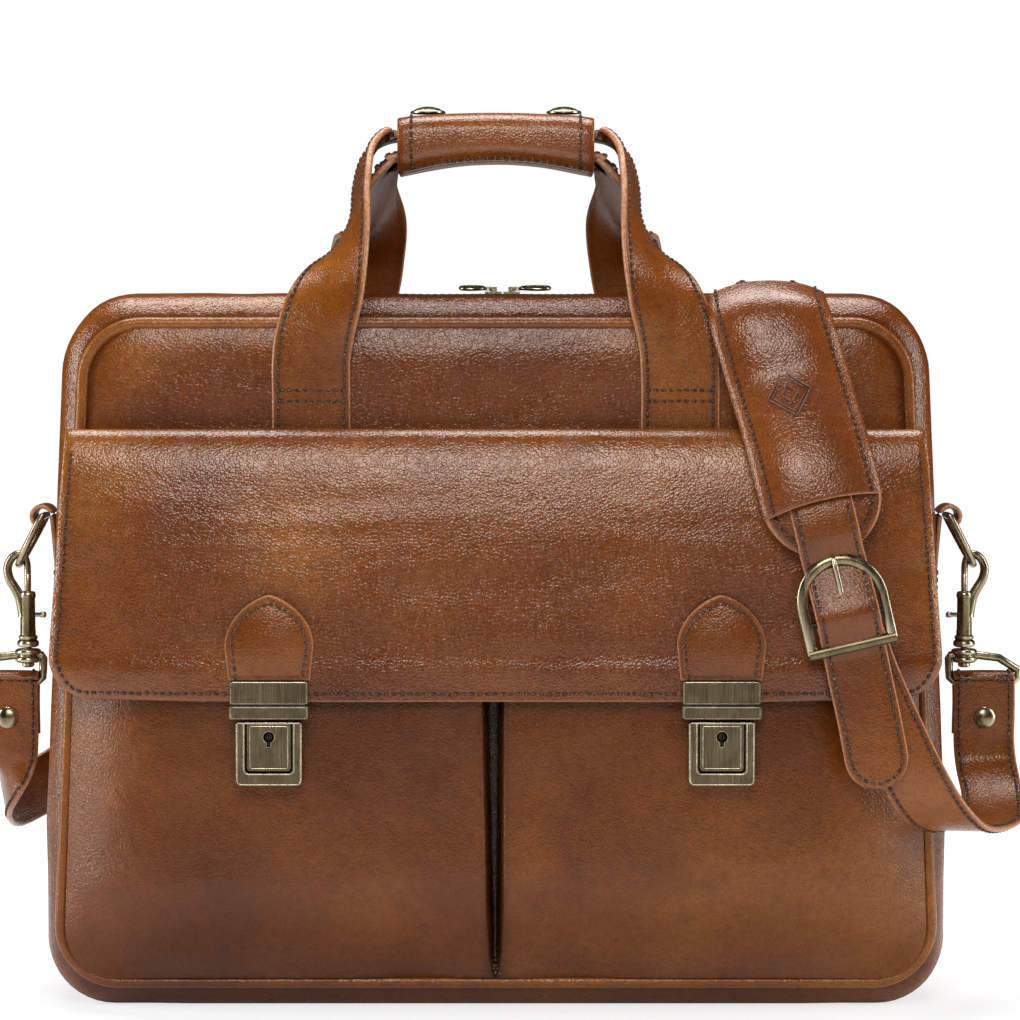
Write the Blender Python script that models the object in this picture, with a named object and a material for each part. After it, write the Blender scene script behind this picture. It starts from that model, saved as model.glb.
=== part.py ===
"""Leather briefcase with a flap, two push locks, a twin handle and a clipped-on shoulder strap.

Metres, +Z up, +X to the right of the front, +Y to the back. The origin is the centre of the flat base.
"""

from math import cos, pi, radians, sin

import bmesh
import bpy
from mathutils import Matrix, Vector

GAP = 0.0004                     # kept between pieces that touch
INWARD = -1                      # a sheet's thickness lies behind the surface that it is drawn on
CENTRED = 0                      # or half on each side of it

# Case
CASE_TOP = 0.307                 # upper edge of the front and back panels
CASE_FOOT = 0.012                # their lower edge
PANEL_HALF_TOP = 0.1840          # half width of a panel at its upper corners
PANEL_HALF_FOOT = 0.195
PANEL_CORNER = 0.026
PANEL_Y = 0.050                  # inner face of a panel, front and back
PANEL_THICK = 0.0025
PIPING_R = 0.0027
PIPING_INSET = 0.0034            # from the piping's centre line to the panel's edge
GUSSET_HALF_TOP = 0.195
GUSSET_HALF_FOOT = 0.205
GUSSET_TOP = 0.318
GUSSET_CORNER = 0.033
GUSSET_EDGE_Y = 0.0465
GUSSET_THICK = 0.0024
FLAT_SHARE = 0.8                 # share of the depth over which base, sides and top are flat
SEAM_Z = 0.222                   # where the top strips meet the body gusset
ZIP_HALF = 0.0075                # half of the slot between the two top strips
TEETH_HALF = 0.0026
TEETH_HALF_LENGTH = 0.150

# Pockets and flap
POCKET_TOP = 0.236
POCKET_FOOT = 0.0165
POCKET_DEPTH = 0.0245
POCKET_FOLD_X = 0.0035
POCKET_WALL = 0.0022
HINGE_Y = -0.060
HINGE_Z = 0.255
FLAP_HALF_TOP = 0.186
FLAP_HALF_FOOT = 0.192
FLAP_FOOT = 0.142
FLAP_THICK = 0.003
FLAP_FACE_Y = -0.0855            # the flap's outer face over the pockets

# Locks
LOCK_X = 0.099
LOCK_BACK_Y = -0.0812
LOCK_FRONT_Y = -0.0905
LOCK_WIDTH = 0.029
LOCK_TOP = 0.1325
LOCK_FOOT = 0.1047
PUSH_WIDTH = 0.019
PUSH_FOOT = 0.1112
PUSH_TRAVEL = 0.0018
PUSH_BACK_Y = -0.0880
KEY_Z = 0.1262
KEY_R = 0.0021
CLASP_WIDTH = 0.034
CLASP_TOP = 0.151
CLASP_FOOT = 0.1338
TAB_WIDTH = 0.038
TAB_TOP = 0.186
TAB_THICK = 0.0022

# Handle
HANDLE_X = 0.082
HANDLE_STRAP = 0.035
HANDLE_THICK = 0.0036
HANDLE_PIVOT_Z = 0.312
GRIP_LENGTH = 0.088
GRIP_HALF_DEPTH = 0.0222
GRIP_FOOT = 0.3765
GRIP_TOP = 0.3972
WRAP_THICK = 0.0024
SNAP_X = 0.031
SNAP_R = 0.008

# Shoulder strap and its hardware
STRAP_WIDTH = 0.028
STRAP_THICK = 0.0024
PAD_WIDTH = 0.055
PAD_THICK = 0.0105
RING_PIVOT_X = 0.2073
RING_PIVOT_Z = 0.2190
RING_REACH = Vector((0.0117, 0, -0.0225))   # from the ring's bar to its far side
RING_HALF = 0.0120
WIRE_R = 0.0016
HOOK_X = 0.2150
SWIVEL_X = 0.2240
SWIVEL_BAR_Z = 0.1430
SWIVEL_TOP_Z = 0.1582
BUCKLE_BAR = Vector((0.1530, -0.0932, 0.1785))
BUCKLE_TILT = radians(13)


def clear_scene():
    for item in list(bpy.data.objects):
        bpy.data.objects.remove(item, do_unlink=True)


def material(name, colour, roughness, metallic=0.0):
    made = bpy.data.materials.new(name)
    made.use_nodes = True
    shader = made.node_tree.nodes["Principled BSDF"]
    shader.inputs["Base Color"].default_value = (*colour, 1.0)
    shader.inputs["Roughness"].default_value = roughness
    shader.inputs["Metallic"].default_value = metallic
    return made


def mesh_object(name, points, faces, finish):
    mesh = bpy.data.meshes.new(name)
    mesh.from_pydata([tuple(p) for p in points], [], faces)
    shape = bmesh.new()
    shape.from_mesh(mesh)
    bmesh.ops.recalc_face_normals(shape, faces=shape.faces)
    shape.to_mesh(mesh)
    shape.free()
    mesh.materials.append(finish)
    made = bpy.data.objects.new(name, mesh)
    bpy.context.scene.collection.objects.link(made)
    mesh.shade_smooth()
    mesh.set_sharp_from_angle(angle=radians(35))
    return made


def as_helper(item):
    item.hide_render = True
    item.display_type = "WIRE"
    return item


def combine(item, other, operation):
    as_helper(other)
    step = item.modifiers.new(operation.title(), "BOOLEAN")
    step.operation = operation
    step.object = other
    step.solver = "EXACT"


def smooth_route(stops, steps):
    """Points of a Catmull-Rom curve through the stops, each a tuple of vectors."""
    rows = []
    last = len(stops) - 1
    for index in range(last):
        around = [stops[max(index - 1, 0)], stops[index], stops[index + 1], stops[min(index + 2, last)]]
        for step in range(steps):
            rows.append(tuple(spline(parts, step / steps) for parts in zip(*around)))
    rows.append(stops[-1])
    return rows


def spline(parts, t):
    a, b, c, d = (Vector(part) for part in parts)
    return 0.5 * (2 * b + (c - a) * t + (2 * a - 5 * b + 4 * c - d) * t**2 + (3 * b - a - 3 * c + d) * t**3)


def ribbon(name, stops, width, thickness, finish, steps=3):
    """A flat strap along a route of (point, face normal) stops."""
    rows = smooth_route(stops, steps)
    points = []
    for index, (point, normal) in enumerate(rows):
        ahead = Vector(rows[min(index + 1, len(rows) - 1)][0])
        behind = Vector(rows[max(index - 1, 0)][0])
        along = (ahead - behind).normalized()
        side = along.cross(Vector(normal)).normalized() * width / 2
        out = side.cross(along).normalized() * thickness / 2
        middle = Vector(point)
        points += [middle - side - out, middle + side - out, middle + side + out, middle - side + out]
    return mesh_object(name, points, tube_faces(len(rows), 4, False), finish)


def tube_faces(rings, sides, cyclic):
    faces = []
    for ring in range(rings if cyclic else rings - 1):
        near = ring * sides
        far = (ring + 1) % rings * sides
        for side in range(sides):
            turn = (side + 1) % sides
            faces.append((near + side, near + turn, far + turn, far + side))
    if not cyclic:
        faces.append(tuple(range(sides)))
        faces.append(tuple(range((rings - 1) * sides, rings * sides)))
    return faces


def tube(name, path, radius, across, finish, cyclic=False, sides=8):
    """A round wire along a path that lies in one plane, whose normal is across."""
    points = []
    count = len(path)
    for index, middle in enumerate(path):
        ahead = path[(index + 1) % count] if cyclic else path[min(index + 1, count - 1)]
        behind = path[index - 1] if cyclic else path[max(index - 1, 0)]
        along = (Vector(ahead) - Vector(behind)).normalized()
        out = along.cross(across).normalized()
        for step in range(sides):
            angle = 2 * pi * step / sides
            points.append(Vector(middle) + radius * (cos(angle) * out + sin(angle) * Vector(across)))
    return mesh_object(name, points, tube_faces(count, sides, cyclic), finish)


def rod(name, start, end, radius, finish, sides=20):
    along = Vector(end) - Vector(start)
    shape = bmesh.new()
    turn = along.to_track_quat("Z", "Y").to_matrix().to_4x4()
    place = Matrix.Translation((Vector(start) + Vector(end)) / 2) @ turn
    bmesh.ops.create_cone(
        shape, cap_ends=True, segments=sides, radius1=radius, radius2=radius, depth=along.length, matrix=place
    )
    points = [vert.co.copy() for vert in shape.verts]
    shape.verts.index_update()
    faces = [tuple(vert.index for vert in face.verts) for face in shape.faces]
    shape.free()
    return mesh_object(name, points, faces, finish)


def plate(name, outline, front, back, finish):
    """An outline of (x, z) points extruded along Y from front to back."""
    count = len(outline)
    points = [(x, front, z) for x, z in outline] + [(x, back, z) for x, z in outline]
    faces = [tuple(range(count)), tuple(range(count, 2 * count))]
    for index in range(count):
        turn = (index + 1) % count
        faces.append((index, turn, count + turn, count + index))
    return mesh_object(name, points, faces, finish)


def bar_along_x(name, section, length, finish):
    """A section of (y, z) points extruded along X, centred."""
    count = len(section)
    points = [(-length / 2, y, z) for y, z in section] + [(length / 2, y, z) for y, z in section]
    faces = [tuple(range(count)), tuple(range(count, 2 * count))]
    for index in range(count):
        turn = (index + 1) % count
        faces.append((index, turn, count + turn, count + index))
    return mesh_object(name, points, faces, finish)


def sheet(name, rows, thickness, finish, offset):
    """A grid of points made into leather of the given thickness."""
    columns = len(rows[0])
    points = [point for row in rows for point in row]
    faces = []
    for row in range(len(rows) - 1):
        for column in range(columns - 1):
            corner = row * columns + column
            faces.append((corner, corner + 1, corner + columns + 1, corner + columns))
    made = mesh_object(name, points, faces, finish)
    skin = made.modifiers.new("Thickness", "SOLIDIFY")
    skin.thickness = thickness
    skin.offset = offset
    return made


def arc(centre, radius, start, end, steps):
    return [
        (centre[0] + radius * cos(radians(start + (end - start) * i / steps)),
         centre[1] + radius * sin(radians(start + (end - start) * i / steps)))
        for i in range(steps + 1)
    ]


def half_outline(half_top, half_foot, top, foot, corner, steps=5):
    """Right half of a case outline, from the middle of the base up to the middle of the top."""
    lower = arc((half_foot - corner, foot + corner), corner, -90, 0, steps)
    upper = arc((half_top - corner, top - corner), corner, 0, 90, steps)
    seam = (half_foot + (half_top - half_foot) * (SEAM_Z - foot - corner) / (top - foot - 2 * corner), SEAM_Z)
    base = [(0.0, foot), (0.5 * (half_foot - corner), foot)]
    crown = [(0.5 * (half_top - corner), top), (0.0, top)]
    return base + lower + [seam] + upper + crown, len(base) + len(lower)


def whole_outline(half):
    return half + [(-x, z) for x, z in half[-2:0:-1]]


def grow(point, half_top, amount):
    """The point moved inwards from the outline by the amount, near enough for the case's slight taper."""
    x, z = point
    middle = (CASE_TOP + CASE_FOOT) / 2
    return (x * (1 - amount / half_top), middle + (z - middle) * (1 - 2 * amount / (CASE_TOP - CASE_FOOT)))


PANEL_HALF, PANEL_SEAM = half_outline(PANEL_HALF_TOP, PANEL_HALF_FOOT, CASE_TOP, CASE_FOOT, PANEL_CORNER)
GUSSET_HALF, GUSSET_SEAM = half_outline(GUSSET_HALF_TOP, GUSSET_HALF_FOOT, GUSSET_TOP, 0.0, GUSSET_CORNER)


def gusset_rows(first, last, shares):
    """Rows of gusset points between two outline indexes, right half, for shares of the half depth."""
    rows = []
    for index in range(first, last + 1):
        row = []
        for share in shares:
            swell = min(1.0, (1 - abs(share) ** 4) / (1 - FLAT_SHARE**4))
            inner = Vector(PANEL_HALF[index])
            outer = Vector(GUSSET_HALF[index])
            x, z = inner + (outer - inner) * swell
            row.append((x, share * GUSSET_EDGE_Y, z))
        rows.append(row)
    return rows


def both_halves(rows):
    """The rows carried over to the left half, starting at the far end of the left side."""
    mirrored = [[(-x, y, z) for x, y, z in row] for row in rows]
    return mirrored, rows


def make_case(leather, board, tape, brass):
    panel = [grow(point, PANEL_HALF_TOP, PIPING_INSET) for point in whole_outline(PANEL_HALF)]
    plate("front_panel", panel, -PANEL_Y - PANEL_THICK, -PANEL_Y, leather)
    plate("back_panel", panel, PANEL_Y, PANEL_Y + PANEL_THICK, leather)
    for name, y in (("piping_front", -PANEL_Y), ("piping_back", PANEL_Y)):
        path = [Vector((x, y, z)) for x, z in whole_outline(PANEL_HALF)]
        tube(name, path, PIPING_R, Vector((0, 1, 0)), leather, cyclic=True)
    shares = [-1, -0.95, -0.88, -FLAT_SHARE, -0.4, 0, 0.4, FLAT_SHARE, 0.88, 0.95, 1]
    left, right = both_halves(gusset_rows(0, GUSSET_SEAM, shares))
    sheet("body_gusset", left[::-1] + right[1:], GUSSET_THICK, leather, INWARD)
    slot = ZIP_HALF / GUSSET_EDGE_Y
    top = len(GUSSET_HALF) - 1
    for name, side in (("top_gusset_front", -1), ("top_gusset_rear", 1)):
        strip = [side * share for share in (1, 0.95, 0.88, FLAT_SHARE, 0.5, slot)]
        left, right = both_halves(gusset_rows(GUSSET_SEAM, top, strip))
        made = sheet(name, right + left[::-1][1:], GUSSET_THICK, leather, INWARD)
        # The strips start just above the seam, so that they don't meet the body gusset's edge.
        for vert in made.data.vertices:
            if vert.co.z < SEAM_Z + GAP:
                vert.co.z = SEAM_Z + GAP
    make_zip(top, tape, brass)
    half_board = PANEL_HALF_FOOT - PANEL_CORNER
    board_outline = [(-half_board, 0.0029), (half_board, 0.0029), (half_board, 0.0049), (-half_board, 0.0049)]
    plate("base_board", board_outline, -0.033, 0.033, board)


def make_zip(top, tape, brass):
    half = ZIP_HALF - GAP
    strip = [-half / GUSSET_EDGE_Y, half / GUSSET_EDGE_Y]
    left, right = both_halves(gusset_rows(GUSSET_SEAM, top, strip))
    rows = [[lower(point, 0.0008) for point in row] for row in right + left[::-1][1:]]
    made = sheet("zip_tape", rows, 0.001, tape, INWARD)
    for vert in made.data.vertices:
        if vert.co.z < SEAM_Z + GAP:
            vert.co.z = SEAM_Z + GAP
    z = GUSSET_TOP - 0.0008 + GAP
    outline = [(-TEETH_HALF_LENGTH, z), (TEETH_HALF_LENGTH, z)]
    outline += [(TEETH_HALF_LENGTH, z + 0.0018), (-TEETH_HALF_LENGTH, z + 0.0018)]
    plate("zip_teeth", outline, -TEETH_HALF, TEETH_HALF, brass)


def lower(point, depth):
    """The point moved towards the middle of the case by the depth."""
    x, y, z = point
    inward = Vector((-x, 0, 0.16 - z)).normalized() * depth
    return tuple(Vector(point) + inward)


def pocket_depth(across, up):
    """How far a pocket stands out at a share of its width from the outer edge and of its height."""
    outer = 1 - (1 - min(across / 0.30, 1)) ** 2
    fold = 1 - (1 - min((1 - across) / 0.08, 1)) ** 2
    foot = 1 - (1 - min(up / 0.22, 1)) ** 2
    mouth = 1 - 0.42 * max(0.0, (up - 0.45) / 0.55) ** 1.6
    return POCKET_DEPTH * outer * foot * mouth * fold


def make_pocket(name, side, leather):
    base_y = -PANEL_Y - PANEL_THICK - GAP - POCKET_WALL
    shares = [0, 0.03, 0.07, 0.13, 0.20, 0.30, 0.5, 0.75, 0.92, 0.945, 0.965, 0.983, 1]
    heights = [0, 0.02, 0.05, 0.10, 0.16, 0.22, 0.35, 0.5, 0.65, 0.8, 0.92, 1]
    rows = []
    for up in heights:
        z = POCKET_FOOT + (POCKET_TOP - POCKET_FOOT) * up
        half = PANEL_HALF_FOOT + (PANEL_HALF_TOP - PANEL_HALF_FOOT) * up * 0.75
        corner = max(0.0, 0.024 - (z - POCKET_FOOT)) / 0.024
        edge = half - PIPING_INSET - 0.0010 - 0.020 * (1 - (1 - corner**2) ** 0.5)
        row = []
        for share in shares:
            x = edge + (POCKET_FOLD_X - edge) * share
            row.append((side * x, base_y - pocket_depth(share, up), z))
        rows.append(row)
    return sheet(name, rows, POCKET_WALL, leather, INWARD)


def flap_profile():
    """Middle line of the flap from its fold to its lower edge, as (y, z)."""
    middle = FLAP_FACE_Y + FLAP_THICK / 2
    stops = [
        (HINGE_Y - 0.0004, HINGE_Z - 0.0030),
        (HINGE_Y - 0.0020, HINGE_Z + 0.0012),
        (HINGE_Y - 0.0070, HINGE_Z + 0.0012),
        (middle + 0.0095, HINGE_Z - 0.0130),
        (middle + 0.0035, 0.222),
        (middle + 0.0005, 0.195),
        (middle, 0.165),
        (middle, FLAP_FOOT),
    ]
    return [(row[0].x, row[0].y) for row in smooth_route([(Vector(stop),) for stop in stops], 2)]


def make_flap(leather):
    rows = []
    for y, z in flap_profile():
        down = (HINGE_Z - z) / (HINGE_Z - FLAP_FOOT)
        half = FLAP_HALF_TOP + (FLAP_HALF_FOOT - FLAP_HALF_TOP) * max(0.0, down)
        rise = max(0.0, FLAP_FOOT + 0.020 - z) / 0.020
        half -= 0.020 * (1 - (1 - min(rise, 1) ** 2) ** 0.5)
        row = []
        for step in range(-7, 8):
            share = step / 7
            crown = 0.009 * abs(share) ** 5 * max(0.0, min(1.0, down * 2))
            row.append((half * share, y + crown, z))
        rows.append(row)
    return sheet("flap_panel", rows, FLAP_THICK, leather, CENTRED)


def pointed_tab(x):
    """Outline of a lock tab: straight sides and foot, with a pointed arch on top."""
    half = TAB_WIDTH / 2
    shoulder = TAB_TOP - 0.017
    sides = [(x - half, CLASP_TOP + GAP), (x + half, CLASP_TOP + GAP), (x + half, shoulder)]
    rise = [(0.93, 0.35), (0.68, 0.66), (0.32, 0.88), (0, 1), (-0.32, 0.88), (-0.68, 0.66), (-0.93, 0.35), (-1, 0)]
    return sides + [(x + half * a, shoulder + (TAB_TOP - shoulder) * b) for a, b in rise]


def make_lock(tag, x, leather, brass):
    tab_back = FLAP_FACE_Y - GAP
    plate(f"lock_tab_{tag}", pointed_tab(x), tab_back - TAB_THICK, tab_back, leather)
    half = CLASP_WIDTH / 2
    hood = arc((x, CLASP_TOP - 0.0075), 0.0072, 20, 160, 6)
    clasp_outline = [(x - half, CLASP_FOOT), (x + half, CLASP_FOOT), (x + half, CLASP_TOP - 0.0065)]
    clasp_outline += hood + [(x - half, CLASP_TOP - 0.0065)]
    clasp = plate(f"clasp_{tag}", clasp_outline, LOCK_FRONT_Y, tab_back, brass)
    body_half = LOCK_WIDTH / 2
    case_outline = [(x + body_half, LOCK_TOP), (x - body_half, LOCK_TOP)]
    case_outline += arc((x - body_half + 0.006, LOCK_FOOT + 0.0075), 0.006, 180, 255, 4)
    case_outline += [(x, LOCK_FOOT)]
    case_outline += arc((x + body_half - 0.006, LOCK_FOOT + 0.0075), 0.006, 285, 360, 4)
    case = plate(f"lock_case_{tag}", case_outline, LOCK_FRONT_Y, LOCK_BACK_Y, brass)
    well = push_outline(x, PUSH_WIDTH / 2 + 0.0009, PUSH_FOOT - PUSH_TRAVEL - 0.0006, LOCK_TOP + 0.004)
    combine(case, plate(f"lock_well_{tag}", well, LOCK_FRONT_Y - 0.002, -0.0832, brass), "DIFFERENCE")
    push = plate(
        f"push_plate_{tag}", push_outline(x, PUSH_WIDTH / 2, PUSH_FOOT, LOCK_TOP - 0.0004),
        LOCK_FRONT_Y - 0.0008, PUSH_BACK_Y, brass,
    )
    bore = rod(f"key_bore_{tag}", (x, -0.095, KEY_Z), (x, -0.080, KEY_Z), KEY_R + 0.00025, brass)
    combine(push, bore, "DIFFERENCE")
    key = rod(f"key_post_{tag}", (x, -0.0916, KEY_Z), (x, -0.0848, KEY_Z), KEY_R, brass)
    slot = [(x - 0.0004, KEY_Z - 0.004), (x + 0.0004, KEY_Z - 0.004)]
    slot += [(x + 0.0004, KEY_Z + 0.001), (x - 0.0004, KEY_Z + 0.001)]
    combine(key, plate(f"key_slot_{tag}", slot, -0.095, -0.0890, brass), "DIFFERENCE")
    return clasp, push, key


def push_outline(x, half, foot, top):
    rounded = 0.0055
    outline = [(x + half, top), (x - half, top)]
    outline += arc((x - half + rounded, foot + rounded), rounded, 180, 262, 5)
    return outline + arc((x + half - rounded, foot + rounded), rounded, 278, 360, 5)


def make_handle(leather, foam, brass):
    face = PANEL_Y + PANEL_THICK + GAP + HANDLE_THICK / 2
    for tag, side in (("left", -1), ("right", 1)):
        x = side * HANDLE_X
        front = [((x, -face, 0.246), (0, -1, 0)), ((x, -face, 0.275), (0, -1, 0)), ((x * 0.975, -face, 0.304), (0, -1, 0))]
        ribbon(f"handle_foot_front_{tag}", front, HANDLE_STRAP, HANDLE_THICK, leather)
        rear = [((x, face, 0.200), (0, 1, 0)), ((x * 0.94, face, 0.255), (0, 1, 0)), ((x * 0.80, face, 0.304), (0, 1, 0))]
        ribbon(f"handle_foot_rear_{tag}", rear, HANDLE_STRAP, HANDLE_THICK, leather)
    front_half = [
        ((-0.0755, -0.0566, 0.3195), (-0.25, -0.95, 0)),
        ((-0.0730, -0.0520, 0.3310), (-0.50, -0.85, 0)),
        ((-0.0680, -0.0400, 0.3458), (-0.87, -0.50, 0.05)),
        ((-0.0650, -0.0260, 0.3624), (-0.97, -0.22, 0.1)),
        ((-0.0613, -0.0120, 0.3780), (-0.92, -0.05, 0.35)),
        ((-0.0550, -0.0030, 0.3880), (-0.7, 0, 0.7)),
        ((-0.0470, 0.0, 0.3912), (-0.2, 0, 0.97)),
        ((-0.0380, 0.0, 0.3914), (0, 0, 1)),
        ((-0.0200, 0.0, 0.3914), (0, 0, 1)),
    ]
    rear_half = [
        ((-0.0640, 0.0560, 0.3215), (0, 1, 0)),
        ((-0.0625, 0.0560, 0.3280), (0, 1, 0)),
        ((-0.0605, 0.0520, 0.3400), (-0.1, 1, 0)),
        ((-0.0580, 0.0400, 0.3525), (-0.35, 0.9, 0)),
        ((-0.0550, 0.0200, 0.3620), (-0.8, 0.5, 0.2)),
        ((-0.0533, 0.0010, 0.3735), (-0.75, 0, 0.65)),
        ((-0.0495, 0.0, 0.3806), (-0.3, 0, 0.95)),
        ((-0.0430, 0.0, 0.3824), (0, 0, 1)),
        ((-0.0200, 0.0, 0.3824), (0, 0, 1)),
    ]
    pieces = []
    for name, half in (("handle_strap_front", front_half), ("handle_strap_rear", rear_half)):
        mirrored = [((-p[0], p[1], p[2]), (-n[0], n[1], n[2])) for p, n in half[::-1]]
        pieces.append(ribbon(name, half + mirrored, HANDLE_STRAP, HANDLE_THICK, leather, steps=2))
    core = arc((0.0135, 0.3867), 0.0021, -90, 90, 4) + arc((-0.0135, 0.3867), 0.0021, 90, 270, 4)
    pieces.append(bar_along_x("grip_padding", core, GRIP_LENGTH - 0.010, foam))
    inner = GRIP_HALF_DEPTH
    base = [(-0.0120, GRIP_FOOT)] + arc((0.0168, GRIP_FOOT + 0.0050), 0.0050, -90, 0, 5)
    base += arc((0.0140, GRIP_TOP - 0.0078), 0.0078, 0, 90, 5) + [(0.0020, GRIP_TOP)]
    pieces.append(wrap("grip_base", base, leather))
    leaf = [(-0.0150, GRIP_FOOT + 0.0004)] + arc((-inner + 0.0078, GRIP_FOOT + 0.0090), 0.0078, 240, 180, 3)
    leaf += arc((-inner + 0.0078, GRIP_TOP - 0.0046), 0.0078, 180, 90, 5) + [(0.0080, GRIP_TOP + 0.0032)]
    leaf_pieces = [wrap("grip_leaf", leaf, leather)]
    for tag, side in (("left", -1), ("right", 1)):
        x = side * SNAP_X
        z = GRIP_TOP + 0.0032 + WRAP_THICK / 2 + GAP
        leaf_pieces.append(rod(f"snap_cap_{tag}", (x, -0.003, z), (x, -0.003, z + 0.0026), SNAP_R, brass, 16))
    return pieces, leaf_pieces


def wrap(name, path, leather):
    """Leather of the grip: a section line in the YZ plane, given its thickness and the grip's length."""
    rows = [[(x, y, z) for x in (-GRIP_LENGTH / 2, GRIP_LENGTH / 2)] for y, z in path]
    return sheet(name, rows, WRAP_THICK, leather, CENTRED)


def make_sliders(brass):
    made = {}
    for tag, side, x in (("left", -1, -0.0012), ("right", 1, 0.0072)):
        z = GUSSET_TOP + 0.0018
        half = 0.0038
        low = [(x - half, z), (x + half, z), (x + half, z + 0.0018), (x + 0.0016, z + 0.0018)]
        low += [(x + 0.0016, z + 0.0040), (x - 0.0016, z + 0.0040), (x - 0.0016, z + 0.0018), (x - half, z + 0.0018)]
        slider = plate(f"zip_slider_{tag}", low, -0.0042, 0.0042, brass)
        notch = [(x - 0.004, z + 0.0021), (x + 0.004, z + 0.0021), (x + 0.004, z + 0.009), (x - 0.004, z + 0.009)]
        for end, side_y in (("front", -1), ("rear", 1)):
            ends = sorted((side_y * 0.0016, side_y * 0.009))
            combine(slider, plate(f"slider_notch_{tag}_{end}", notch, *ends, brass), "DIFFERENCE")
        pull = make_pull(f"zip_pull_{tag}", x, side, z + 0.0031, brass)
        made[tag] = (slider, pull, x, z + 0.0031)
    return made


def make_pull(name, x, side, z, brass):
    """Flat pull with a slot that clears the slider's bridge, lying outwards from it."""
    reach = 0.0172 if side > 0 else 0.0150
    near = x + side * 0.0022
    far = x + side * reach
    low, high = sorted((near, far))
    outline = [(low, z - 0.0006), (high, z - 0.0006), (high, z + 0.0008), (low, z + 0.0008)]
    pull = plate(name, outline, -0.0034, 0.0034, brass)
    for end, side_y in (("front", -1), ("rear", 1)):
        arm_low, arm_high = sorted((x - side * 0.0008, near + side * 0.0010))
        arm = [(arm_low, z - 0.0005), (arm_high, z - 0.0005), (arm_high, z + 0.0007), (arm_low, z + 0.0007)]
        ends = sorted((side_y * 0.0021, side_y * 0.0034))
        combine(pull, plate(f"{name}_arm_{end}", arm, *ends, brass), "UNION")
    return pull


def make_clip(tag, side, leather, brass):
    """Side tab, D-ring, snap hook with its bolt, swivel loop, folded strap end and rivet on one side."""
    across = Vector((0, 1, 0))
    side_x = side * (RING_PIVOT_X - 0.0046)
    loop = [(side * x, z) for x, z in arc((RING_PIVOT_X, RING_PIVOT_Z), 0.0046, 180, -60, 8)]
    tab = [((side_x, 0, 0.180), (side, 0, 0)), ((side_x, 0, 0.200), (side, 0, 0))]
    for x, z in loop:
        tab.append(((x, 0, z), (side * RING_PIVOT_X - x, 0, RING_PIVOT_Z - z)))
    # The normals of the straight run point out of the case, those of the loop at the ring's bar.
    ribbon(f"side_tab_{tag}", tab, 0.0200, 0.0018, leather, steps=1)
    pivot = Vector((side * RING_PIVOT_X, 0, RING_PIVOT_Z))
    reach = Vector((side * RING_REACH.x, 0, RING_REACH.z))
    path = [pivot - across * RING_HALF, pivot - across * RING_HALF / 3]
    path += [pivot + across * RING_HALF / 3, pivot + across * RING_HALF]
    for step in range(1, 10):
        angle = pi * step / 10
        path.append(pivot + across * RING_HALF * cos(angle) + reach * sin(angle) ** 0.8)
    ring = tube(f"d_ring_{tag}", path, WIRE_R, reach.cross(across).normalized(), brass, cyclic=True)
    hook, bolt = make_hook(tag, side, brass)
    x = side * SWIVEL_X
    top_x = side * HOOK_X
    loop_path = [(x - 0.0155, 0, SWIVEL_BAR_Z), (x, 0, SWIVEL_BAR_Z), (x + 0.0155, 0, SWIVEL_BAR_Z)]
    loop_path += [(x + 0.0168, 0, SWIVEL_BAR_Z + 0.0068), (top_x + 0.0090, 0, SWIVEL_TOP_Z - 0.0030)]
    loop_path += [(top_x, 0, SWIVEL_TOP_Z - 0.0025), (top_x - 0.0090, 0, SWIVEL_TOP_Z - 0.0030)]
    loop_path += [(x - 0.0168, 0, SWIVEL_BAR_Z + 0.0068)]
    swivel = tube(f"swivel_loop_{tag}", [Vector(p) for p in loop_path], 0.0016, across, brass, cyclic=True)
    boss = rod(f"swivel_boss_{tag}", (top_x, 0, SWIVEL_TOP_Z - 0.006), (top_x, 0, SWIVEL_TOP_Z), 0.0044, brass)
    combine(swivel, boss, "UNION")
    bore = rod(f"swivel_bore_{tag}", (top_x, 0, 0.14), (top_x, 0, 0.17), 0.0019, brass)
    combine(swivel, bore, "DIFFERENCE")
    make_strap_end(tag, x, leather, brass)
    return ring, hook, bolt


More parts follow.
